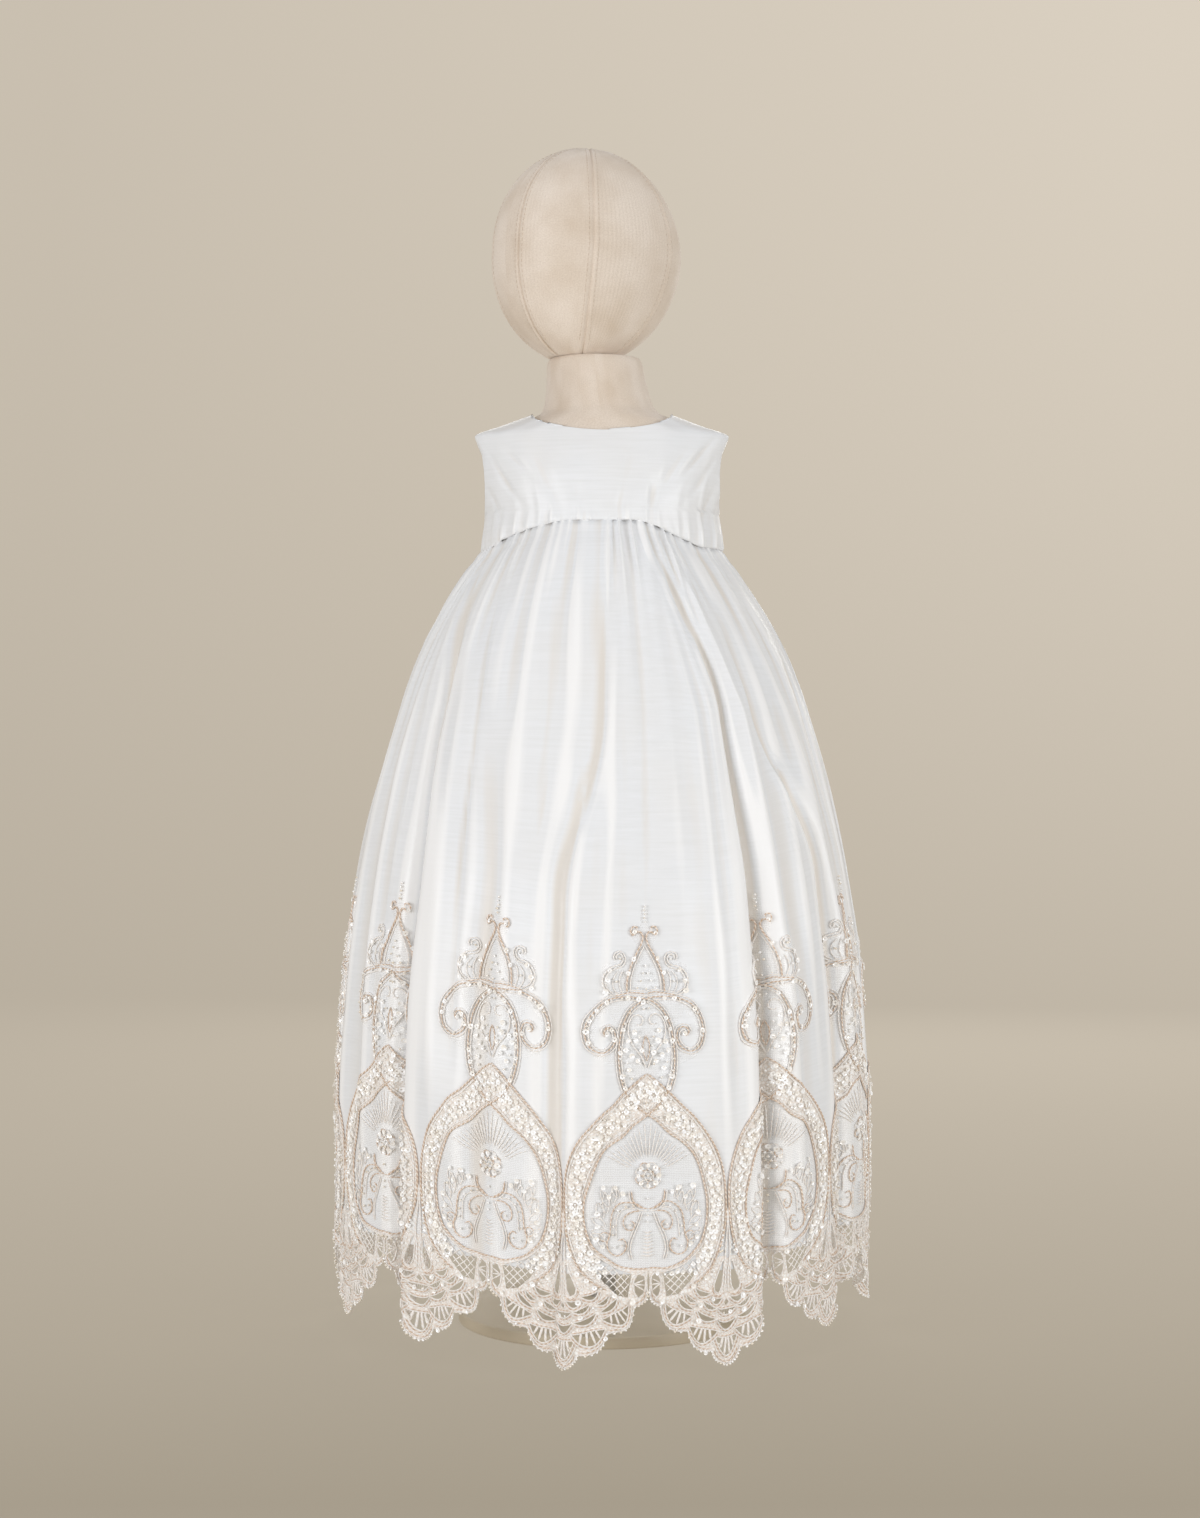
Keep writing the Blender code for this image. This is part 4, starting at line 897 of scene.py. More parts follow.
CORDS = (
    Cord(ROSE, 0.62, 2.0, OUTER_ARCH),
    Cord(ROSE, 0.62, -2.1, INNER_OVAL + VASE_AND_SCROLL[1:]),
    Cord(WHITE, 0.55, 2.1, VASE_AND_SCROLL[2:-1]),
    # onion and its curl
    Cord(ROSE, 0.75, 0.0, ((14.5, 262.0), (14.2, 271.0), (11.0, 281.0), (6.2, 289.5), (2.4, 296.0),
                           (1.4, 301.5), (4.4, 304.5), (8.8, 302.0), (10.4, 304.8), (8.0, 308.0),
                           (5.2, 307.0), (5.6, 305.2))),
    Cord(WHITE, 0.5, 0.0, ((11.5, 262.0), (11.6, 270.0), (9.0, 279.0), (4.6, 287.0), (0.0, 294.5))),
    # crown lobe with its knob, and its ribs
    Cord(WHITE, 0.62, 1.9, ((24.0, 259.5), (30.5, 264.0), (31.8, 270.5), (29.0, 276.8), (24.0, 280.5),
                            (19.0, 282.0), (17.2, 286.0), (19.4, 289.2), (22.6, 287.6), (21.6, 284.8))),
    Cord(WHITE, 0.42, 0.0, ((20.5, 260.5), (24.0, 266.0), (24.0, 272.0), (20.5, 277.5))),
    Cord(WHITE, 0.42, 0.0, ((17.0, 261.0), (19.6, 267.0), (19.4, 273.0), (17.0, 278.5))),
    Cord(ROSE, 0.5, 1.7, ((0.0, 260.6), (7.0, 262.4), (15.5, 261.8), (24.0, 259.6))),
    # inside the vase: a pair of scrolls that rise from one stem, with a leaf between
    Cord(WHITE, 0.6, 0.0, ((0.6, 209.0), (4.6, 217.5), (10.0, 225.0), (13.4, 233.0), (13.2, 241.0),
                           (9.4, 246.4), (4.6, 246.6), (2.2, 242.8), (4.4, 239.4), (7.6, 240.4))),
    Cord(ROSE, 0.45, 0.0, ((0.0, 232.5), (2.6, 226.0), (2.2, 219.5), (0.0, 214.0))),
    # medallion: the seat under the flower, the two C-scrolls and the trunk
    Cord(ROSE, 0.55, 1.7, ((12.0, 125.5), (10.8, 118.5), (6.2, 113.2), (0.0, 111.4))),
    Cord(ROSE, 0.58, 0.0, ((3.0, 111.8), (11.5, 117.0), (19.0, 116.0), (24.6, 110.5), (26.8, 102.0),
                           (27.4, 94.0), (29.4, 88.0), (27.6, 81.8), (21.8, 79.4), (16.6, 82.4),
                           (15.4, 88.0), (18.0, 91.2), (21.2, 89.6))),
    Cord(WHITE, 0.5, 0.0, ((8.0, 112.4), (13.0, 113.2), (18.4, 111.0), (21.8, 105.0), (22.6, 97.0),
                           (22.8, 91.0))),
    Cord(ROSE, 0.5, 0.0, ((5.0, 110.4), (10.5, 110.6), (15.6, 107.6), (17.4, 101.5), (14.4, 97.4),
                          (10.2, 98.6), (9.8, 102.8), (12.6, 104.4))),
    Cord(WHITE, 0.5, 1.6, ((3.6, 109.4), (7.0, 101.0), (10.8, 92.5), (12.6, 84.5), (11.2, 76.5))),
    # stems that rise between two repeats
    Cord(WHITE, 0.55, 0.0, ((57.4, 50.0), (58.2, 62.0), (57.4, 78.0), (58.4, 96.0), (58.9, 110.0))),
)
# Openings of the fringe: ends, how far the upper and the lower arc sag, and the bars across.
Swag = namedtuple("Swag", "start end upper lower bars")
SWAGS = (
    Swag((55.6, 46.6), (45.9, 48.6), 0.7, 4.6, 0),
    Swag((45.7, 50.6), (35.1, 54.6), 0.8, 4.0, 0),
    Swag((50.6, 40.2), (41.0, 44.8), 0.4, 3.2, 4),
    Swag((35.5, 45.2), (28.0, 50.4), 0.3, 2.7, 3),
    Swag((49.9, 32.4), (36.7, 38.8), 0.8, 4.2, 0),
    Swag((33.4, 39.8), (22.4, 48.8), 0.3, 3.4, 0),
    Swag((51.2, 23.4), (30.6, 27.4), -0.6, 9.2, 4),
    Swag((32.0, 34.6), (13.6, 44.8), 0.6, 9.4, 4),
)
# These hang under the point between two repeats, and belong to both.
WHOLE_SWAGS = (
    Swag((66.2, 39.2), (51.8, 39.2), 0.9, 4.6, 7),
    Swag((66.6, 31.4), (51.4, 31.4), 2.6, 7.2, 0),
    Swag((67.8, 19.6), (50.2, 19.6), 1.4, 13.8, 4),
)
FAN_DEPTH = 8.0             # swags that hang deeper than this are filled with petals
# Leaves of the medallion: base, direction in degrees, length and width.
Leaf = namedtuple("Leaf", "x t turn length width")
LEAVES = (
    Leaf(27.0, 112.0, 62.0, 15.0, 5.2), Leaf(30.0, 108.0, 88.0, 16.0, 5.2),
    Leaf(32.5, 104.0, 74.0, 13.0, 4.6), Leaf(24.5, 115.0, 96.0, 12.0, 4.6),
    Leaf(20.0, 119.0, 62.0, 10.0, 4.0), Leaf(30.5, 99.0, 40.0, 11.0, 4.4),
    Leaf(30.0, 95.5, 8.0, 9.0, 4.0), Leaf(29.5, 84.0, 52.0, 9.0, 3.8),
    Leaf(31.0, 90.0, 30.0, 9.5, 4.0),
)
FLOWER_CENTRE = (0.0, 135.0)
TEARDROP_CUP = ((48.2, 57.0), (47.6, 52.4), (50.2, 49.4), (54.0, 48.6), (57.4, 50.0))
# Small loops between the arches and the fringe: centre and radius.
SMALL_LOOPS = ((40.2, 60.0, 2.5), (46.2, 64.6, 2.7), (35.6, 62.6, 2.0), (44.0, 70.6, 2.2),
               (50.2, 71.0, 2.2), (38.8, 67.6, 2.1), (46.6, 56.6, 2.0), (50.6, 79.0, 2.1))
# Where single sequins and beads are sewn.
VASE_SEQUINS = ((7.5, 214.0), (13.0, 209.0), (4.5, 221.0), (11.5, 218.0), (15.5, 222.5), (6.0, 199.0),
                (9.6, 235.4), (9.0, 228.5), (13.8, 228.6), (29.0, 270.0), (26.5, 277.0), (8.0, 303.8),
                (14.0, 275.5), (9.0, 286.0), (30.0, 262.5), (29.6, 233.5))
VASE_BEADS = ((1.8, 250.6), (5.4, 231.0), (4.6, 225.0), (11.0, 203.0), (5.6, 212.5), (16.2, 205.0),
              (19.6, 285.6), (22.0, 270.0), (6.5, 265.5), (3.8, 270.0), (1.8, 275.0), (14.5, 214.0))
SCROLL_BEADS = ((10.5, 114.8), (15.5, 114.0), (20.6, 110.6), (23.6, 105.4), (24.8, 99.6), (25.2, 94.0),
                (18.6, 86.6), (24.0, 85.4), (12.8, 101.2), (31.0, 92.0), (25.0, 123.5), (34.0, 116.0))
LEAF_SEQUINS = ((28.0, 119.5), (31.5, 127.0), (36.5, 108.0), (35.5, 99.5), (22.5, 126.5), (36.0, 91.0),
                (17.5, 123.5), (31.5, 86.0))
FRINGE_TRIMS = ((56.2, 36.2), (45.8, 36.6), (38.4, 43.0), (37.0, 32.2), (24.0, 51.2), (33.0, 56.4),
                (42.4, 62.2), (48.6, 66.4), (37.2, 57.2), (43.0, 9.6), (47.4, 46.8), (52.4, 14.6),
                (21.2, 27.2), (29.8, 21.4), (10.6, 47.0), (40.6, 71.4), (47.6, 75.4), (53.6, 79.4))
MIDDLE_BEADS = [(0.0, 135.0), (0.0, 107.0), (0.0, 102.6), (0.0, 119.0), (0.0, 264.0), (0.0, 280.0)]
SEQUIN_RADIUS = (1.55, 2.1)
BEAD_RADIUS = (0.8, 1.15)
SEQUIN_TILT = 24.0
TRIM_SEED = 100
LACE_LIFT = 0.45            # the net above the silk
LACE_RUNS = (("lace_front", range(-3, 3)), ("lace_back", range(3, 9)))  # repeats of each piece
CORD_STEP = 2.05            # spacing of a cord's points
OPENING_STEPS = 8           # parts of an arc round an opening


def smooth_path(points, step):
    """Even steps along a smooth curve through the points."""
    points = np.asarray(points, float)
    chord = np.concatenate([[0.0], np.cumsum(np.linalg.norm(np.diff(points, axis=0), axis=1))])
    if len(points) > 2:
        tangent = np.gradient(points, chord, axis=0)
    else:
        tangent = np.repeat((points[1:] - points[:1]) / chord[1], 2, axis=0)
    fine = np.linspace(0.0, chord[-1], max(3, int(2 * chord[-1] / step) + 1))
    i = np.clip(np.searchsorted(chord, fine, side="right") - 1, 0, len(chord) - 2)
    length = (chord[i + 1] - chord[i])[:, None]
    s = (fine - chord[i])[:, None] / length
    dense = curve_between(s, points[i], points[i + 1], length, tangent[i], tangent[i + 1])
    run = np.concatenate([[0.0], np.cumsum(np.linalg.norm(np.diff(dense, axis=0), axis=1))])
    at = np.linspace(0.0, run[-1], max(2, round(run[-1] / step) + 1))
    return np.stack([np.interp(at, run, dense[:, k]) for k in (0, 1)], axis=1)


def beside_path(path, distance):
    """The path moved to its left by a distance."""
    along = unit(np.gradient(path, axis=0))
    return path + np.stack([-along[:, 1], along[:, 0]], axis=1) * distance


def arc(start, end, sag, steps):
    """A curve from start to end that sags to its left by a distance."""
    start, end = np.array(start), np.array(end)
    chord = end - start
    out = np.array((-chord[1], chord[0])) / np.linalg.norm(chord)
    s = np.linspace(0.0, 1.0, steps + 1)[:, None]
    return start + chord * s + out * sag * 4 * s * (1 - s)


def swag_opening(swag):
    """The closed outline of a swag's opening."""
    upper = arc(*swag[:2], swag.upper, OPENING_STEPS)
    lower = arc(*swag[:2], swag.lower, OPENING_STEPS)
    return [tuple(p) for p in np.concatenate([lower, upper[-2:0:-1]])]


def mirror(path):
    return np.asarray(path) * (-1.0, 1.0)


def leaf_path(leaf):
    """A closed almond outline."""
    s = np.linspace(0.0, 1.0, 9)
    half = 0.5 * leaf.width * np.sin(np.pi * s) ** 0.8
    x = np.concatenate([s, s[-2::-1]]) * leaf.length
    y = np.concatenate([half, -half[-2::-1]])
    turn = math.radians(leaf.turn)
    return np.stack([leaf.x + x * math.cos(turn) - y * math.sin(turn),
                     leaf.t + x * math.sin(turn) + y * math.cos(turn)], axis=1)


def ring_path(x, t, radius, steps=14):
    turn = np.linspace(0.0, 2 * math.pi, steps + 1)
    return np.stack([x + radius * np.cos(turn), t + radius * np.sin(turn)], axis=1)


def inside(points, polygon):
    """Which flat points lie inside a closed polygon."""
    polygon = np.asarray(polygon, float)
    x, y = points[:, 0, None], points[:, 1, None]
    (x0, y0), (x1, y1) = polygon.T, np.roll(polygon, -1, axis=0).T
    rises = (y0 > y) != (y1 > y)
    crossing = x0 + (y - y0) * (x1 - x0) / np.where(y1 == y0, 1e-9, y1 - y0)
    return (rises & (x < crossing)).sum(axis=1) % 2 == 1


def turned(loop):
    """Twice the area of a closed flat outline: above 0 where it runs counterclockwise."""
    return sum(a[0] * b[1] - b[0] * a[1] for a, b in zip(loop, loop[1:] + loop[:1]))


def closed_both_sides(path):
    """A closed polygon from a right-hand half that starts and ends on the centre line."""
    path = np.asarray(path, float)
    return np.concatenate([path, mirror(path)[::-1]])


def round_tube(path, up, radius, sides=4):
    """A cord along a path in space, drawn in at its ends: points, quads and its own uv."""
    along = unit(np.gradient(path, axis=0))
    side = unit(np.cross(up, along))
    over = np.cross(along, side)
    turn = 2 * math.pi * (np.arange(sides) + 0.5) / sides
    size = np.full(len(path), radius)
    size[0] = size[-1] = 0.15 * radius
    ring = side[:, None] * np.cos(turn)[:, None] + over[:, None] * np.sin(turn)[:, None]
    points = (path[:, None] + ring * size[:, None, None]).reshape(-1, 3)
    i, j = np.meshgrid(np.arange(len(path) - 1), np.arange(sides), indexing="ij")
    here, after = i * sides + j, i * sides + (j + 1) % sides
    quads = np.stack([here, after, after + sides, here + sides], axis=-1).reshape(-1, 4)
    run = np.concatenate([[0.0], np.cumsum(np.linalg.norm(np.diff(path, axis=0), axis=1))])
    uv = np.stack(np.broadcast_arrays(run[:, None], turn * radius), axis=-1).reshape(-1, 2)
    return points, quads, uv


def flat_tube(path, radius):
    """A cord laid on the net along a flat path; its points are (x, t, height over the silk)."""
    laid = np.column_stack([path, np.full(len(path), LACE_LIFT + 0.85 * radius)])
    return round_tube(laid, np.array((0.0, 0.0, 1.0)), radius)


def gathered(parts):
    """Several (points, faces, uv) parts as one."""
    starts = np.cumsum([0] + [len(p[0]) for p in parts[:-1]])
    return (np.concatenate([p[0] for p in parts]),
            np.concatenate([p[1] + start for p, start in zip(parts, starts)]),
            np.concatenate([p[2] for p in parts]))


def repeat_cords():
    """The cords of one repeat by yarn, as flat tubes."""
    made = {ROSE: [], WHITE: []}

    def lay(yarn, radius, path, once=False):
        made[yarn].append(flat_tube(path, radius))
        if not once:
            made[yarn].append(flat_tube(mirror(path), radius))

    for cord in CORDS:
        path = smooth_path(cord.points, CORD_STEP)
        lay(cord.yarn, cord.radius, path)
        if cord.beside:
            lay(WHITE, cord.radius * 0.85, beside_path(path, cord.beside))
    for whole, swags in ((False, SWAGS), (True, WHOLE_SWAGS)):
        for swag in swags:
            steps = 16 if swag.lower > FAN_DEPTH else 9
            upper, lower = arc(*swag[:2], swag.upper, steps), arc(*swag[:2], swag.lower, steps)
            lay(WHITE, 0.52, beside_path(lower, 0.5), whole)
            lay(ROSE, 0.46, beside_path(lower, 1.5), whole)
            lay(WHITE, 0.52, beside_path(lower, 2.45), whole)
            lay(WHITE, 0.50, beside_path(upper, -0.4), whole)
            lay(ROSE, 0.40, beside_path(upper, -1.3), whole)
            if swag.lower > FAN_DEPTH:
                crown = arc(*swag[:2], swag.upper - 1.0, 20)
                for top, foot in ((6, 3), (9, 6), (11, 10), (14, 13)):
                    petal = smooth_path([crown[top], lower[foot]], 1.6)
                    lay(WHITE, 0.95, petal, whole)
            elif swag.bars:
                fine_up, fine_low = arc(*swag[:2], swag.upper, 20), arc(*swag[:2], swag.lower, 20)
                for k in np.linspace(4, 16, swag.bars).round().astype(int):
                    lay(WHITE, 0.5, np.array([fine_up[k], fine_low[k]]), whole)
    for scallop in SCALLOPS:
        edge = smooth_path(arc(*scallop, 10), 1.1)
        wave = abs(np.sin(np.linspace(0.0, math.pi * round(len(edge) / 3.2), len(edge))))
        along = unit(np.gradient(edge, axis=0))
        left = np.stack([-along[:, 1], along[:, 0]], axis=1)
        lay(WHITE, 0.55, edge + left * (0.9 * wave - 1.1)[:, None])
        lay(ROSE, 0.42, beside_path(arc(*scallop, 10), -2.2))
    # leaf-shaped opening between the lattice and the notch
    for foot in ((2.7, 54.4), (2.5, 58.4), (3.0, 62.4)):
        bend = (0.55 * foot[0] + 4.7, 0.5 * foot[1] + 29.6)
        lay(WHITE, 0.6, smooth_path([foot, bend, (10.2, 59.6)], 2.4))
    rim = smooth_path(LEAF_GAP + LEAF_GAP[:1], 2.0)
    lay(WHITE, 0.5, beside_path(rim, -0.6 * math.copysign(1.0, turned(LEAF_GAP))))
    # the tongue between two teardrops, with a stitched border round each
    rim = smooth_path(TEARDROP_GAP + TEARDROP_GAP[:1], 2.0)
    lay(WHITE, 0.5, beside_path(rim, -0.6 * math.copysign(1.0, turned(TEARDROP_GAP))))
    lay(WHITE, 0.5, beside_path(smooth_path(DIAMOND_GAP, 1.5), -0.5))
    lay(ROSE, 0.42, smooth_path(TEARDROP_CUP, 1.6))
    for t in np.arange(52.0, 70.0, 2.0):
        made[WHITE].append(flat_tube(np.array([(HALF_REPEAT - 1.6, t), (HALF_REPEAT + 1.6, t)]), 0.5))
    # small loops between the arches and the fringe
    for ring in SMALL_LOOPS:
        lay(WHITE, 0.42, ring_path(*ring, steps=10))
    for leaf in LEAVES:
        path = leaf_path(leaf)
        lay(WHITE, 0.42, path)
        lay(WHITE, 0.5, np.array([path[1] * 0.5 + path[-2] * 0.5, path[7] * 0.5 + path[9] * 0.5]))
    x, t = FLOWER_CENTRE
    for petal in range(8):
        turn = math.radians(45.0 * petal + 22.5)
        lay(ROSE if petal % 2 else WHITE, 0.45,
            ring_path(x + 6.6 * math.sin(turn), t + 6.6 * math.cos(turn), 2.9, steps=10), True)
    lay(WHITE, 0.5, ring_path(x, t, 2.8, steps=10), True)
    lay(ROSE, 0.42, ring_path(31.0, 92.0, 3.2))
    # rays from the flower to the oval
    oval = smooth_path(INNER_OVAL, 2.0)
    bearing = np.degrees(np.arctan2(oval[:, 0] - x, oval[:, 1] - t))
    reach = np.linalg.norm(oval - (x, t), axis=1)
    order = np.argsort(bearing)
    for number, angle in enumerate(np.arange(3.4, 68.0, 6.8)):
        far = np.interp(angle, bearing[order], reach[order]) - 3.2
        ray = np.array((math.sin(math.radians(angle)), math.cos(math.radians(angle))))
        near = 12.4 + 1.8 * (number % 2)
        lay(WHITE, 0.42, smooth_path([(x, t) + ray * near, (x, t) + ray * far], 3.0))
    # satin bars up the trunk
    for t in np.arange(79.0, 97.0, 2.3):
        wide = np.interp(t, (79.0, 97.0), (5.6, 3.0))
        made[WHITE].append(flat_tube(np.array([(-wide, t + 0.9), (0.0, t - 0.5), (wide, t + 0.9)]), 0.75))
    # lattice bars, both ways
    for slope in (1.0, -1.0):
        for offset in np.arange(-120.0, 120.0, LATTICE_PITCH * math.sqrt(2.0)):
            line = np.array([(x, slope * x + offset) for x in np.arange(8.0, 38.0, 0.5)])
            held = line[inside(line, LATTICE)]
            if len(held) > 4:
                lay(WHITE, 0.45, smooth_path([held[0], held[-1]], 3.2))
    return {yarn: gathered(parts) for yarn, parts in made.items()}


# ---- the lace border, on the skirt ----------------------------------------------------------
def hem_line_stations():
    """How far round the border each of the skirt's cut columns stands."""
    inwards = np.zeros(len(HEM_COLUMNS))
    for fold in FOLDS:
        share = np.clip(away_from(HEM_COLUMNS, fold.hem) / fold_angle(fold.reach), -1.0, 1.0)
        inwards += fold.depth * (0.5 + 0.5 * np.cos(np.pi * share))
    turn = np.radians(HEM_COLUMNS)
    normal = unit(np.stack([np.sin(turn) / HEM_WIDTH, -np.cos(turn) / HEM_DEPTH], axis=1))
    line = np.stack([HEM_WIDTH * np.sin(turn), -HEM_DEPTH * np.cos(turn)], axis=1)
    line -= normal * inwards[:, None]
    steps = np.linalg.norm(np.roll(line, -1, axis=0) - line, axis=1)
    return np.concatenate([[0.0], np.cumsum(steps)]) * REPEATS * REPEAT_WIDTH / steps.sum()


class Border:
    """The skirt's surface under the border, read by distance round it and height."""

    STEP_UP = 3.0
    TOP = 331.0
    ROWS = 112
    COLUMNS = 1180

    def __init__(self):
        stations = hem_line_stations()
        self.full = REPEATS * REPEAT_WIDTH
        self.start = float(np.interp(MOTIF_ANGLE, HEM_COLUMNS, stations[:-1]))
        x = np.linspace(0.0, self.full, self.COLUMNS + 1)
        hem = np.interp(x, stations, np.concatenate([HEM_COLUMNS, HEM_COLUMNS[:1] + 360.0]))
        heights = FLOOR_CLEARANCE + self.TOP - self.STEP_UP * np.arange(self.ROWS)
        self.points = skirt_point(hem[None], heights[:, None])
        self.normals = grid_normals(self.points, closed=True)

    def place(self, flat):
        """Flat points (x, t, height over the silk) as they lie on the skirt."""
        col = (flat[:, 0] % self.full) / self.full * self.COLUMNS
        row = np.clip((self.TOP - flat[:, 1]) / self.STEP_UP, 0.0, len(self.points) - 1.001)
        c, r = np.minimum(col.astype(int), self.COLUMNS - 1), row.astype(int)
        a, b = (col - c)[:, None], (row - r)[:, None]
        read = []
        for grid in (self.points, self.normals):
            top = grid[r, c] * (1 - a) + grid[r, c + 1] * a
            low = grid[r + 1, c] * (1 - a) + grid[r + 1, c + 1] * a
            read.append(top * (1 - b) + low * b)
        return read[0] + unit(read[1]) * flat[:, 2:]


def fringe_gaps():
    """Openings of the right half of a repeat; those on its end line are cut off there."""
    gaps = [SCROLL_GAP, CROWN_GAP, TEARDROP_GAP, LEAF_GAP, DIAMOND_GAP, LATTICE]
    gaps += [swag_opening(swag) for swag in SWAGS]
    for swag in WHOLE_SWAGS:
        gaps.append([p for p in swag_opening(swag) if p[0] <= HALF_REPEAT + 0.01])
    return [list(gap) for gap in gaps]


def net_flat():
    """Flat triangles of one repeat's ground, and which of them are embroidered."""
    lower = [tuple(p) for s in SCALLOPS for p in arc(*s, 8)[:-1]]
    lower = [(HALF_REPEAT, 0.4)] + lower[1:] + [(0.7, 58.0), (0.7, 65.0), (0.0, 67.0)]
    gaps = fringe_gaps()
    ends = sorted(t for gap in gaps for x, t in gap if abs(x - HALF_REPEAT) < 0.01)
    side = sorted([t for t in np.arange(2.5, ARCH_FOOT_HEIGHT, 5.5)
                   if min(abs(t - end) for end in ends) > 1.0] + ends)
    right = list(UPPER_OUTLINE) + [(HALF_REPEAT, t) for t in side[::-1]] + lower
    outline = right + [(-x, t) for x, t in right[-2:0:-1]]
    gaps += [[(-x, t) for x, t in gap] for gap in gaps]
    oval, arch_line = smooth_path(INNER_OVAL, 5.0), smooth_path(OUTER_ARCH, 5.0)
    points, edges, faces = [], [], []
    for loop in (outline, *gaps):
        faces.append(list(range(len(points), len(points) + len(loop))))
        points += loop if turned(loop) > 0 else loop[::-1]
    for seam in (oval, mirror(oval), arch_line[3:], mirror(arch_line[3:])):
        edges += [(len(points) + k, len(points) + k + 1) for k in range(len(seam) - 1)]
        points += [tuple(p) for p in seam]
    points += [(x + 1.5 * (row % 2), t) for row, t in enumerate(np.arange(4.0, 320.0, 4.0))
               for x in np.arange(-57.0, 58.0, 3.8)]
    result = delaunay_2d_cdt([Vector(p) for p in points], edges, faces, 0, 0.01, True)
    kept = [tri for tri, source in zip(result[2], result[5]) if list(source) == [0]]
    flat = np.array([tuple(p) for p in result[0]])
    used, tris = np.unique(np.array(kept), return_inverse=True)
    flat, tris = flat[used], tris.reshape(-1, 3)
    middle = flat[tris].mean(axis=1)
    middle[:, 0] = abs(middle[:, 0])
    in_oval = inside(middle, closed_both_sides(oval))
    in_arch = inside(middle, closed_both_sides(np.concatenate([[(0.0, 40.0)], arch_line])))
    return flat, tris, ~in_oval & (in_arch | (middle[:, 1] < 76.0))


def small_rings(rings, sides):
    """Points of rings, given by radius and height, one ring after the other."""
    turns = np.arange(sides) * math.pi / (sides / 2)
    return [(math.cos(a) * r, math.sin(a) * r, z) for r, z in rings for a in turns]


def bead_shape(sides):
    """A bead of radius 1: three rings, closed to a point below and above."""
    points = small_rings(((0.7, -0.7), (1.0, 0.0), (0.7, 0.7)), sides) + [(0, 0, -1.0), (0, 0, 1.0)]
    foot, top = 3 * sides, 3 * sides + 1
    tris = []
    for k in range(sides):
        low, middle, high = k, sides + k, 2 * sides + k
        after = (k + 1) % sides
        low_after, middle_after, high_after = after, sides + after, 2 * sides + after
        tris += [(foot, low_after, low), (low, low_after, middle_after), (low, middle_after, middle),
                 (middle, middle_after, high_after), (middle, high_after, high), (high, high_after, top)]
    return np.array(points), np.array(tris)


def sequin_shape(sides):
    """A cupped sequin of radius 1 with a hole in its middle."""
    points = small_rings(((0.26, 0.0), (0.7, 0.06), (1.0, 0.24)), sides)
    tris = []
    for row in (0, sides):
        for k in range(sides):
            after = (k + 1) % sides
            tris += [(row + k, row + sides + k, row + sides + after),
                     (row + k, row + sides + after, row + after)]
    return np.array(points), np.array(tris)


BEAD, SEQUIN = bead_shape(5), sequin_shape(8)


def scatter(shape, centres, radii, tilts, turns):
    """Copies of a small shape at flat centres (x, t, height), each tilted its own way."""
    template, tris = shape
    lean, spin = np.radians(tilts)[:, None], turns[:, None]
    x, y, z = (template[None] * radii[:, None, None]).transpose(2, 0, 1)
    along = x * np.cos(spin) + y * np.sin(spin)
    shift = along * np.sin(lean)
    points = np.stack([x, y, z + shift], axis=-1) + centres[:, None]
    faces = tris[None] + (np.arange(len(centres)) * len(template))[:, None, None]
    return points.reshape(-1, 3), faces.reshape(-1, 3), np.zeros((points.size // 3, 2))


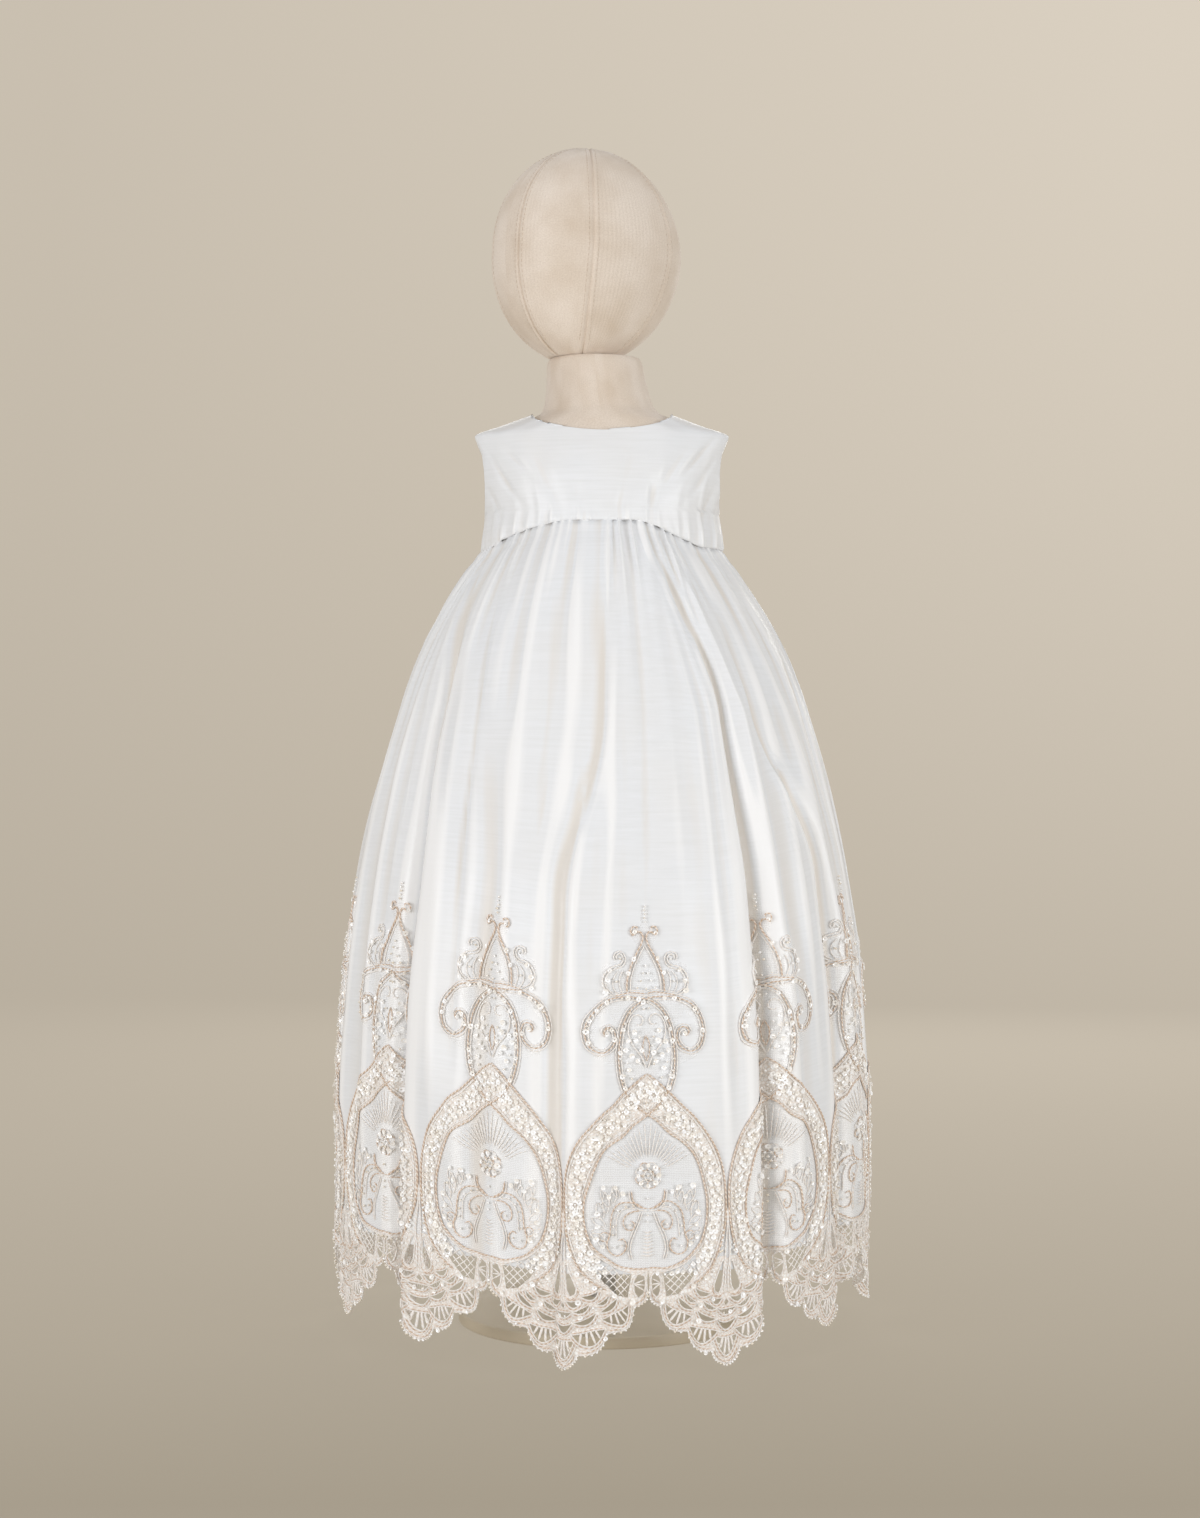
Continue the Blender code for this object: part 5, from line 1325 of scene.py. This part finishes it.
def repeat_trims(rng):
    """Where one repeat's sequins and beads lie: flat centres of each kind."""
    sequins, beads = [], []
    outer, inner = smooth_path(OUTER_ARCH, 2.0), smooth_path(INNER_OVAL, 2.0)
    band = beside_path(outer, 9.2)
    for side in (1.0, -1.0):
        for k in range(6, len(band) - 3, 5):
            x, t = band[k] + rng.uniform(-1.2, 1.2, 2)
            if abs(x) < 3.0:
                continue
            petals = rng.integers(4, 7)
            start = rng.uniform(0, 2 * math.pi)
            for p in range(petals):
                a = start + 2 * math.pi * p / petals
                sequins.append((side * x + 3.3 * math.cos(a), t + 3.3 * math.sin(a)))
            beads.append((side * x, t))
    arch_poly = closed_both_sides(beside_path(outer, 3.2)[8:])
    oval_poly = closed_both_sides(beside_path(inner, -3.4))
    tries = rng.uniform((-56.0, 62.0), (56.0, 200.0), (1600, 2))
    tries = tries[inside(tries, arch_poly) & ~inside(tries, oval_poly)]
    kept = np.array(sequins + beads)
    for point in tries:
        if np.min(((kept - point) ** 2).sum(axis=1)) > 2.9 ** 2:
            kept = np.concatenate([kept, point[None]])
            (sequins if rng.uniform() < 0.35 else beads).append(tuple(point))
    # the scrolls, the vase and the crown
    scroll = smooth_path(VASE_AND_SCROLL, 4.2)
    for side in (1.0, -1.0):
        for k, (x, t) in enumerate(beside_path(scroll, -1.0)[3:-2]):
            if rng.uniform() < 0.62:
                (sequins if k % 2 else beads).append((side * x, t))
        for x, t in VASE_SEQUINS:
            sequins.append((side * x + rng.uniform(-0.8, 0.8), t + rng.uniform(-0.8, 0.8)))
        for x, t in VASE_BEADS:
            beads.append((side * x, t))
        # beads in the C-scrolls, leaves and curls
        for x, t in SCROLL_BEADS:
            beads.append((side * x, t))
        for x, t in LEAF_SEQUINS:
            sequins.append((side * x + rng.uniform(-0.6, 0.6), t + rng.uniform(-0.6, 0.6)))
        # the stem beside a junction, and the picot edge
        for t in np.arange(80.0, 122.0, 3.6):
            beads.append((side * (HALF_REPEAT - 3.6 - 0.03 * abs(t - 100)), t))
        for scallop in SCALLOPS:
            for x, t in arc(*scallop, 7)[:-1]:
                beads.append((side * x, t))
        for x, t in FRINGE_TRIMS:
            (sequins if rng.uniform() < 0.55 else beads).append((side * x, t))
    x, t = FLOWER_CENTRE
    for count, reach in ((8, 7.2), (6, 3.4)):
        for a in np.arange(count) * 2 * math.pi / count:
            (sequins if reach > 5 else beads).append((x + reach * math.cos(a), t + reach * math.sin(a)))
    beads += MIDDLE_BEADS
    beads += [(0.3 * (-1) ** k, 311.0 + 2.7 * k) for k in range(5)]
    return np.array(sequins), np.array(beads)


def border_drift(points):
    """Small unevenness of hand-guided embroidery."""
    x, t = points[:, 0] * 2 * math.pi / (REPEATS * REPEAT_WIDTH), points[:, 1]
    drift = np.zeros_like(points)
    drift[:, 0] = 0.35 * np.sin(61 * x + 0.05 * t) + 0.25 * np.sin(0.09 * t + 37 * x)
    drift[:, 1] = 0.4 * np.sin(47 * x) + 0.25 * np.sin(83 * x + 0.07 * t)
    return drift


def lay_piece(name, border, points, faces, material, uv=None):
    """A piece of the lace, from its flat points to its place on the skirt."""
    return new_piece(name, border.place(points + border_drift(points)), faces, material, uv)


def lay_cords(run, border, centres, cords, cord_materials):
    """The rose and the white cords of a run of repeats."""
    pieces = []
    for yarn in (ROSE, WHITE):
        points, quads, uv = cords[yarn]
        points, quads, uv = gathered([(points + (centre, 0.0, 0.0), quads, uv) for centre in centres])
        pieces.append(lay_piece(f"{run}_{yarn}_cord", border, points, quads, cord_materials[yarn], uv * MM))
    return pieces


def lay_trims(run, border, numbers, centres, sequin, bead):
    """The sequins and beads of a run of repeats."""
    trims = {"sequins": [], "beads": []}
    for number, centre in zip(numbers, centres):
        rng = np.random.default_rng(TRIM_SEED + number)
        sequins, beads = repeat_trims(rng)
        for kind, shape, spots, span, tilt in (("sequins", SEQUIN, sequins, SEQUIN_RADIUS, SEQUIN_TILT),
                                               ("beads", BEAD, beads, BEAD_RADIUS, 0.0)):
            radii = rng.uniform(*span, len(spots))
            tilts = rng.uniform(-tilt, tilt, len(spots))
            rest = 0.5 + radii * (abs(np.sin(np.radians(tilts))) + (0.25 if tilt else 0.9))
            heads = np.column_stack([spots + (centre, 0.0), LACE_LIFT + rest])
            turns = rng.uniform(0, 6.28, len(spots))
            trims[kind].append(scatter(shape, heads, radii, tilts, turns))
    pieces = []
    for kind, material in (("sequins", sequin), ("beads", bead)):
        points, faces, _ = gathered(trims[kind])
        pieces.append(lay_piece(f"{run}_{kind}", border, points, faces, material))
    return pieces


def lay_ground(run, border, centres, ground, net, filling):
    """The net of a run of repeats, with its embroidered parts filled."""
    flat, tris, embroidered = ground
    count = len(flat)
    lifted = np.full(count, LACE_LIFT)
    points = np.concatenate([np.column_stack([flat + (centre, 0.0), lifted]) for centre in centres])
    faces = np.concatenate([tris + count * k for k in range(len(centres))])
    drifted = points + border_drift(points)
    piece = new_piece(run + "_ground", border.place(drifted), faces, net, drifted[:, :2] * MM)
    piece.data.materials.append(filling)
    piece.data.polygons.foreach_set("material_index", np.tile(embroidered, len(centres)).astype(int))
    return piece


def make_lace(border, net, filling, cord_materials, sequin, bead):
    """The border, in two runs of six repeats that meet beside the side seams."""
    cords = repeat_cords()
    flat_ground = net_flat()
    for run, numbers in LACE_RUNS:
        centres = [border.start + REPEAT_WIDTH * n for n in numbers]
        with_pieces = lay_cords(run, border, centres, cords, cord_materials)
        with_pieces += lay_trims(run, border, numbers, centres, sequin, bead)
        ground = lay_ground(run, border, centres, flat_ground, net, filling)
        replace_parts(ground, run)
        for piece in (ground, *with_pieces):
            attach(piece, "root")


# ---- the dress form and its stand ----------------------------------------------------------
def level_ring(ring, turn):
    """An oval ring of the form."""
    return np.stack([ring.half_width * np.sin(turn) + ring.shift, -ring.half_depth * np.cos(turn),
                     np.full(turn.shape, ring.height)], axis=1)


def shoulder_ring(angles, height):
    """A ring of the form's shoulders: the bodice's surface, moved in along its normals."""
    here = bodice_point(angles, height)
    around = bodice_point(angles + 1.0, height) - bodice_point(angles - 1.0, height)
    upwards = bodice_point(angles, height + 1.0) - bodice_point(angles, height - 1.0)
    ring = here - unit(np.cross(around, upwards)) * (CLOTH + FORM_EASE)
    ring[:, 0] *= min(1.0, FORM_SHOULDER_LIMIT / abs(ring[:, 0]).max())
    return ring


def rounded_between(rings, steps):
    """More rings, on smooth curves up through the given ones."""
    tangent = np.gradient(rings, axis=0)
    made = []
    for k in range(len(rings) - 1):
        for s in np.arange(steps) / steps:
            made.append(curve_between(s, rings[k], rings[k + 1], 1.0, tangent[k], tangent[k + 1]))
    return np.array(made + [rings[-1]])


def covered_form(name, rings, uv, jersey):
    """A stuffed form from closed rings, foot to top; uv has one column more than the rings."""
    levels, count = rings.shape[:2]
    points = np.concatenate([rings.reshape(-1, 3), rings[:1].mean(axis=1), rings[-1:].mean(axis=1)])
    uv = np.concatenate([uv.reshape(-1, 2), uv[:1].mean(axis=1), uv[-1:].mean(axis=1)])
    i, j = [a.ravel() for a in np.meshgrid(np.arange(levels - 1), np.arange(count), indexing="ij")]
    here, beside = i * count + j, i * count + (j + 1) % count
    mark = i * (count + 1) + j
    rim = np.arange(count)
    top, top_mark = (levels - 1) * count, (levels - 1) * (count + 1)
    foot_middle, top_middle = np.full(count, levels * count), np.full(count, levels * count + 1)
    foot_uv, top_uv = (np.full(count, levels * (count + 1) + k) for k in (0, 1))
    tris = [np.stack([here, beside, beside + count], 1), np.stack([here, beside + count, here + count], 1),
            np.stack([foot_middle, (rim + 1) % count, rim], 1),
            np.stack([top_middle, top + rim, top + (rim + 1) % count], 1)]
    marks = [np.stack([mark, mark + 1, mark + count + 2], 1),
             np.stack([mark, mark + count + 2, mark + count + 1], 1),
             np.stack([foot_uv, rim + 1, rim], 1), np.stack([top_uv, top_mark + rim, top_mark + rim + 1], 1)]
    corners = uv[np.concatenate(marks).ravel()] * MM
    piece = new_piece(name, points, np.concatenate(tris), jersey, corners)
    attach(piece, "root")
    return piece


def make_torso(jersey):
    """Shoulders, chest and neck, with a seam down each side and down the back."""
    angles = np.arange(FORM_SEGMENTS) * 360.0 / FORM_SEGMENTS
    turn = np.radians(angles)
    rings = [level_ring(ring, turn) for ring in FORM_BODY]
    rings += [shoulder_ring(angles, height) for height in FORM_SHOULDER_HEIGHTS]
    rings += [level_ring(ring, turn) for ring in FORM_NECK]
    rings = rounded_between(np.array(rings), 3)
    for seam in (90.0, 180.0, -90.0):
        dip = HEAD_SEAM_DEPTH * np.exp(-(away_from(angles, seam) / 1.6) ** 2)
        rings[..., :2] *= 1.0 - dip[None, :, None] / 80.0
    around = np.concatenate([turn, [2 * math.pi]]) * 80.0
    uv = np.stack(np.broadcast_arrays(around[None], rings[:, :1, 2]), axis=-1)
    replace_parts(covered_form("form_torso_jersey", rings, uv, jersey), "form_torso")


def head_point(tilt, spin):
    """Points of the head: tilt from 0 at its foot to 180 at its crown, spin round from the face."""
    tilt, spin = np.broadcast_arrays(np.asarray(tilt, float), np.asarray(spin, float))
    along, across, up = HEAD_SEMI_AXES
    around = np.sin(np.radians(tilt))
    rise = -up * np.cos(np.radians(tilt))
    dip = np.zeros(tilt.shape)
    for seam in HEAD_GORE_SEAMS:
        off = abs(np.radians(away_from(spin, seam))) * HEAD_GIRTH_RADIUS * around
        dip += HEAD_SEAM_DEPTH * np.exp(-(off / 0.9) ** 2)
        dip -= HEAD_SEAM_EDGE * np.exp(-((off - 2.2) / 1.5) ** 2)
    shrink = 1.0 - dip * smooth(around / 0.3) / HEAD_GIRTH_RADIUS
    forward = along * around * np.cos(np.radians(spin)) + HEAD_CHIN_LEAN * np.maximum(0.0, -rise)
    sideways = across * around * np.sin(np.radians(spin))
    turn = math.radians(HEAD_TURN)
    x = -forward * math.sin(turn) + sideways * math.cos(turn)
    y = -forward * math.cos(turn) - sideways * math.sin(turn)
    points = np.stack([x, y, rise], axis=-1) * shrink[..., None] + HEAD_CENTRE
    points[..., 2] = np.maximum(FORM_NECK[-1].height + SEAM, points[..., 2])
    return points


def make_head(jersey, thread):
    """A plain stuffed head of seven gores, each seam pressed flat and stitched down both sides."""
    beside = np.degrees(np.array((-3.6, -2.2, -1.1, -0.5, 0.0, 0.5, 1.1, 2.2, 3.6)) / HEAD_GIRTH_RADIUS)
    near = np.concatenate([seam + beside for seam in HEAD_GORE_SEAMS]) % 360.0
    plain = [a for a in np.arange(0.0, 360.0, 4.0) if abs(away_from(near, a)).min() > 1.2]
    spins = np.sort(np.concatenate([near, plain]))
    tilts = np.linspace(15.0, 178.0, 84)
    rings = head_point(tilts[:, None], spins[None])
    around = np.radians(np.concatenate([spins, spins[:1] + 360.0])) * HEAD_GIRTH_RADIUS
    uv = np.stack(np.broadcast_arrays(around[None], np.radians(tilts)[:, None] * HEAD_SEMI_AXES[2]), axis=-1)
    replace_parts(covered_form("form_head_jersey", rings, uv, jersey), "form_head")
    stitches = []
    for seam in HEAD_GORE_SEAMS:
        for side in (-STITCH_ROW, STITCH_ROW):
            for tilt in np.arange(34.0, 160.0, 2.7):
                marks = np.linspace(tilt, tilt + 1.7, 4)
                spin = seam + np.degrees(side / (HEAD_GIRTH_RADIUS * np.sin(np.radians(marks))))
                path = head_point(marks, spin)
                out = unit(path - HEAD_CENTRE)
                stitches.append(round_tube(path + out * 0.05, out, STITCH_RADIUS))
    points, quads, uv = gathered(stitches)
    rows = new_piece("form_head_stitches", points, quads, thread, uv * MM)
    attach(rows, "root")


def deselect():
    if bpy.context.mode != "OBJECT":
        bpy.ops.object.mode_set(mode="OBJECT")
    bpy.ops.object.select_all(action="DESELECT")


def edit_faces(piece, wanted):
    """Goes into edit mode with only the wanted faces selected."""
    bpy.ops.object.mode_set(mode="EDIT")
    bpy.ops.mesh.select_mode(type="FACE")
    bpy.ops.mesh.select_all(action="DESELECT")
    mesh = bmesh.from_edit_mesh(piece.data)
    for face in mesh.faces:
        face.select = wanted(face)
    bmesh.update_edit_mesh(piece.data)


def apply_modifiers(piece):
    for modifier in list(piece.modifiers):
        bpy.ops.object.modifier_apply(modifier=modifier.name)


def settle(piece, name, material):
    """Puts the place of a finished piece into its mesh, and gives it its finish."""
    bpy.ops.object.transform_apply(location=True, rotation=True, scale=True)
    piece.name = piece.data.name = name
    piece.data.materials.clear()
    piece.data.materials.append(material)
    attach(piece, "root")
    deselect()
    return piece


def make_stand(steel, paint):
    """A turned steel post on a round painted foot, which rises to a collar round the post."""
    deselect()
    length = FORM_BODY[0].height - BASE_THICKNESS - 2 * SEAM
    bpy.ops.mesh.primitive_cylinder_add(vertices=64, radius=POLE_RADIUS * MM, depth=length * MM,
                                        location=(0, 0, (BASE_THICKNESS + SEAM + 0.5 * length) * MM))
    post = bpy.context.object
    edit_faces(post, lambda face: face.normal.z > 0.9)
    bpy.ops.mesh.inset(thickness=2.5 * MM)
    bpy.ops.transform.translate(value=(0, 0, -1.5 * MM))
    bpy.ops.object.mode_set(mode="OBJECT")
    edge = post.modifiers.new("edge", "BEVEL")
    edge.width, edge.segments, edge.limit_method = 0.8 * MM, 3, "ANGLE"
    apply_modifiers(post)
    bpy.ops.object.shade_smooth_by_angle(angle=math.radians(40))
    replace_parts(settle(post, "stand_post", steel), "stand_pole")

    bpy.ops.mesh.primitive_cylinder_add(vertices=128, radius=BASE_RADIUS * MM, depth=BASE_THICKNESS * MM,
                                        location=(0, 0, 0.5 * BASE_THICKNESS * MM))
    foot = bpy.context.object
    edit_faces(foot, lambda face: face.normal.z > 0.9)
    for inset, rise in ((6.0, 0.0), (70.0, 0.0), (15.0, 2.0), (0.6, 7.0)):
        bpy.ops.mesh.inset(thickness=inset * MM)
        bpy.ops.transform.translate(value=(0, 0, rise * MM))
    bpy.ops.object.mode_set(mode="OBJECT")
    edge = foot.modifiers.new("edge", "BEVEL")
    edge.width, edge.segments, edge.limit_method = 1.6 * MM, 4, "ANGLE"
    apply_modifiers(foot)
    bpy.ops.object.shade_smooth_by_angle(angle=math.radians(40))
    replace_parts(settle(foot, "stand_foot", paint), "stand_base")


def button_frame(height):
    """Where a button stands on the back's edge: its centre, and its directions left, up and out."""
    centre = bodice_point(BUTTON_ANGLE, height)
    left = unit(bodice_point(BUTTON_ANGLE + 2.0, height) - bodice_point(BUTTON_ANGLE - 2.0, height))
    up = unit(bodice_point(BUTTON_ANGLE, height + 3.0) - bodice_point(BUTTON_ANGLE, height - 3.0))
    out = unit(np.cross(left, up))
    return centre, left, np.cross(out, left), out


def make_buttons(silk, thread):
    """Silk-covered buttons and the thread loops that close over them."""
    loops = []
    for number, height in enumerate(BUTTON_HEIGHTS, 1):
        centre, left, up, out = button_frame(height)
        deselect()
        rim = 0.35 * BUTTON_DOME
        bpy.ops.mesh.primitive_cylinder_add(vertices=24, radius=BUTTON_RADIUS * MM, depth=rim * MM,
                                            location=(0, 0, 0.5 * rim * MM))
        button = bpy.context.object
        edit_faces(button, lambda face: face.normal.z > 0.9)
        for inset, rise in ((0.9, 0.42), (1.6, 0.16), (1.2, 0.05)):
            bpy.ops.mesh.inset(thickness=inset * MM)
            bpy.ops.transform.translate(value=(0, 0, rise * BUTTON_DOME * MM))
        bpy.ops.object.mode_set(mode="OBJECT")
        edge = button.modifiers.new("edge", "BEVEL")
        edge.width, edge.segments, edge.limit_method = 0.3 * MM, 2, "ANGLE"
        apply_modifiers(button)
        bpy.ops.object.shade_smooth()
        bpy.ops.object.transform_apply(location=True, rotation=True, scale=True)
        layer = button.data.uv_layers.active
        layer.name = "cloth"
        corners = [button.data.vertices[loop.vertex_index].co for loop in button.data.loops]
        layer.uv.foreach_set("vector", [k for co in corners for k in (co.x, co.y + 0.1 * number)])
        turned_to = Matrix((left, up, out)).transposed().to_4x4()
        button.matrix_world = Matrix.Translation(Vector(centre + out * SEAM) * MM) @ turned_to
        button.select_set(True)
        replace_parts(settle(button, f"back_button_{number}_covered", silk), f"back_button_{number}")
        reach = BUTTON_RADIUS + LOOP_CORD
        spin = np.radians(np.linspace(-100.0, 100.0, 19))
        flat = [(16.0, -2.2), (12.0, -2.6), (7.0, -3.9)]
        flat += [(-reach * math.cos(a), reach * math.sin(a)) for a in spin]
        flat += [(7.0, 3.9), (12.0, 2.6), (16.0, 2.2)]
        path = np.array([bodice_point(BUTTON_ANGLE + math.degrees(x / 92.0), height + z) for x, z in flat])
        loops.append(round_tube(path + out * (LOOP_CORD + 0.15), out, LOOP_CORD, 6))
    points, quads, uv = gathered(loops)
    piece = new_piece("back_loops", points, quads, thread, uv * MM)
    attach(piece, "root")


# ---- stage, light and camera ----------------------------------------------------------------
def make_stage():
    """A floor that turns up into a wall in one wide curve."""
    profile = [(-5.0, 0.0), (2.6, 0.0)]
    profile += [(2.6 + 1.6 * math.sin(a), 1.6 - 1.6 * math.cos(a)) for a in np.radians(range(3, 91, 3))]
    profile += [(4.2, 4.5)]
    xs = (-5.0, 5.0)
    points = [(x * 1000, y * 1000, z * 1000) for y, z in profile for x in xs]
    quads = [(2 * i, 2 * i + 1, 2 * i + 3, 2 * i + 2) for i in range(len(profile) - 1)]
    stage = new_piece("backdrop", points, quads, backdrop_paper())


def make_light(name, place, target, size, power, colour):
    data = bpy.data.lights.new(name, "AREA")
    data.shape, data.size, data.size_y = "RECTANGLE", size[0], size[1]
    data.energy = power
    data.color = linear(colour)[:3]
    lamp = bpy.data.objects.new(name, data)
    lamp.location = place
    lamp.visible_camera = False
    lamp.rotation_euler = (Vector(target) - Vector(place)).to_track_quat("-Z", "Y").to_euler()
    bpy.context.scene.collection.objects.link(lamp)


def make_lights():
    world = bpy.data.worlds.new("studio")
    world.use_nodes = True
    bpy.context.scene.world = world
    tree = world.node_tree
    sky = tree.nodes["Background"]
    sky.inputs["Color"].default_value = linear("#fdfaf7")
    sky.inputs["Strength"].default_value = 0.42
    # The camera sees the room's pale wall, a little brighter than the light that comes off it.
    seen = node(tree, "ShaderNodeBackground", Color=linear("#cbc0ad"), Strength=1.0)
    path = node(tree, "ShaderNodeLightPath")
    room = node(tree, "ShaderNodeMixShader", in0=path.outputs["Is Camera Ray"], in1=sky.outputs[0],
                in2=seen.outputs[0])
    tree.links.new(room.outputs[0], tree.nodes["World Output"].inputs["Surface"])
    middle = (0.0, 0.0, 0.36)
    make_light("softbox_left", (-1.8, -1.9, 0.48), middle, (1.4, 0.95), 28.8, "#f9fbff")
    make_light("softbox_right", (1.9, -1.7, 0.48), middle, (1.4, 0.95), 24.6, "#f8fbff")
    make_light("softbox_top", (0.0, -0.3, 2.6), middle, (2.0, 1.6), 7.0, "#ffffff")
    make_light("softbox_back", (0.3, 2.2, 1.1), middle, (1.6, 1.0), 14.0, "#ffffff")
    # Light that a thin silk skirt lets through to the floor inside it.
    make_light("skirt_glow", (0.0, 0.0, 0.30), (0.0, 0.0, 0.0), (0.16, 0.16), 0.28, "#ffffff")


def make_camera():
    data = bpy.data.cameras.new("camera")
    data.sensor_width = 36.0
    data.lens = 61.6
    camera = bpy.data.objects.new("camera", data)
    camera.location = (-0.0015, -2.0, 0.430)
    camera.rotation_euler = (math.radians(90), 0.0, 0.0)
    bpy.context.scene.collection.objects.link(camera)
    bpy.context.scene.camera = camera
    bpy.context.scene.view_settings.view_transform = "Standard"


def main():
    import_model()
    bpy.ops.object.select_all(action="DESELECT")
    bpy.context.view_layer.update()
    silk = shantung_silk()
    make_camera()
    make_lights()
    make_stage()
    make_skirt(silk)
    make_bodice(silk)
    # Each cord is given a lit colour and a shaded colour, painted along its twist as glint and shade.
    yarns = {ROSE: gimp_cord("rose_gimp_cord", "#fbf0e6", "#ceb297"),
             WHITE: gimp_cord("white_gimp_cord", "#fffefd", "#f3ebe3")}
    make_lace(Border(), lace_net(), lace_filling(), yarns, pearl_sequin(), glass_bead())
    jersey = form_jersey()
    make_torso(jersey)
    make_head(jersey, gimp_cord("cream_sewing_thread", "#d8c6b2", "#a8927a"))
    make_stand(brushed_steel(), satin_paint())
    make_buttons(silk, gimp_cord("ivory_buttonhole_thread", "#f5f2ec", "#d8d0c4"))


main()
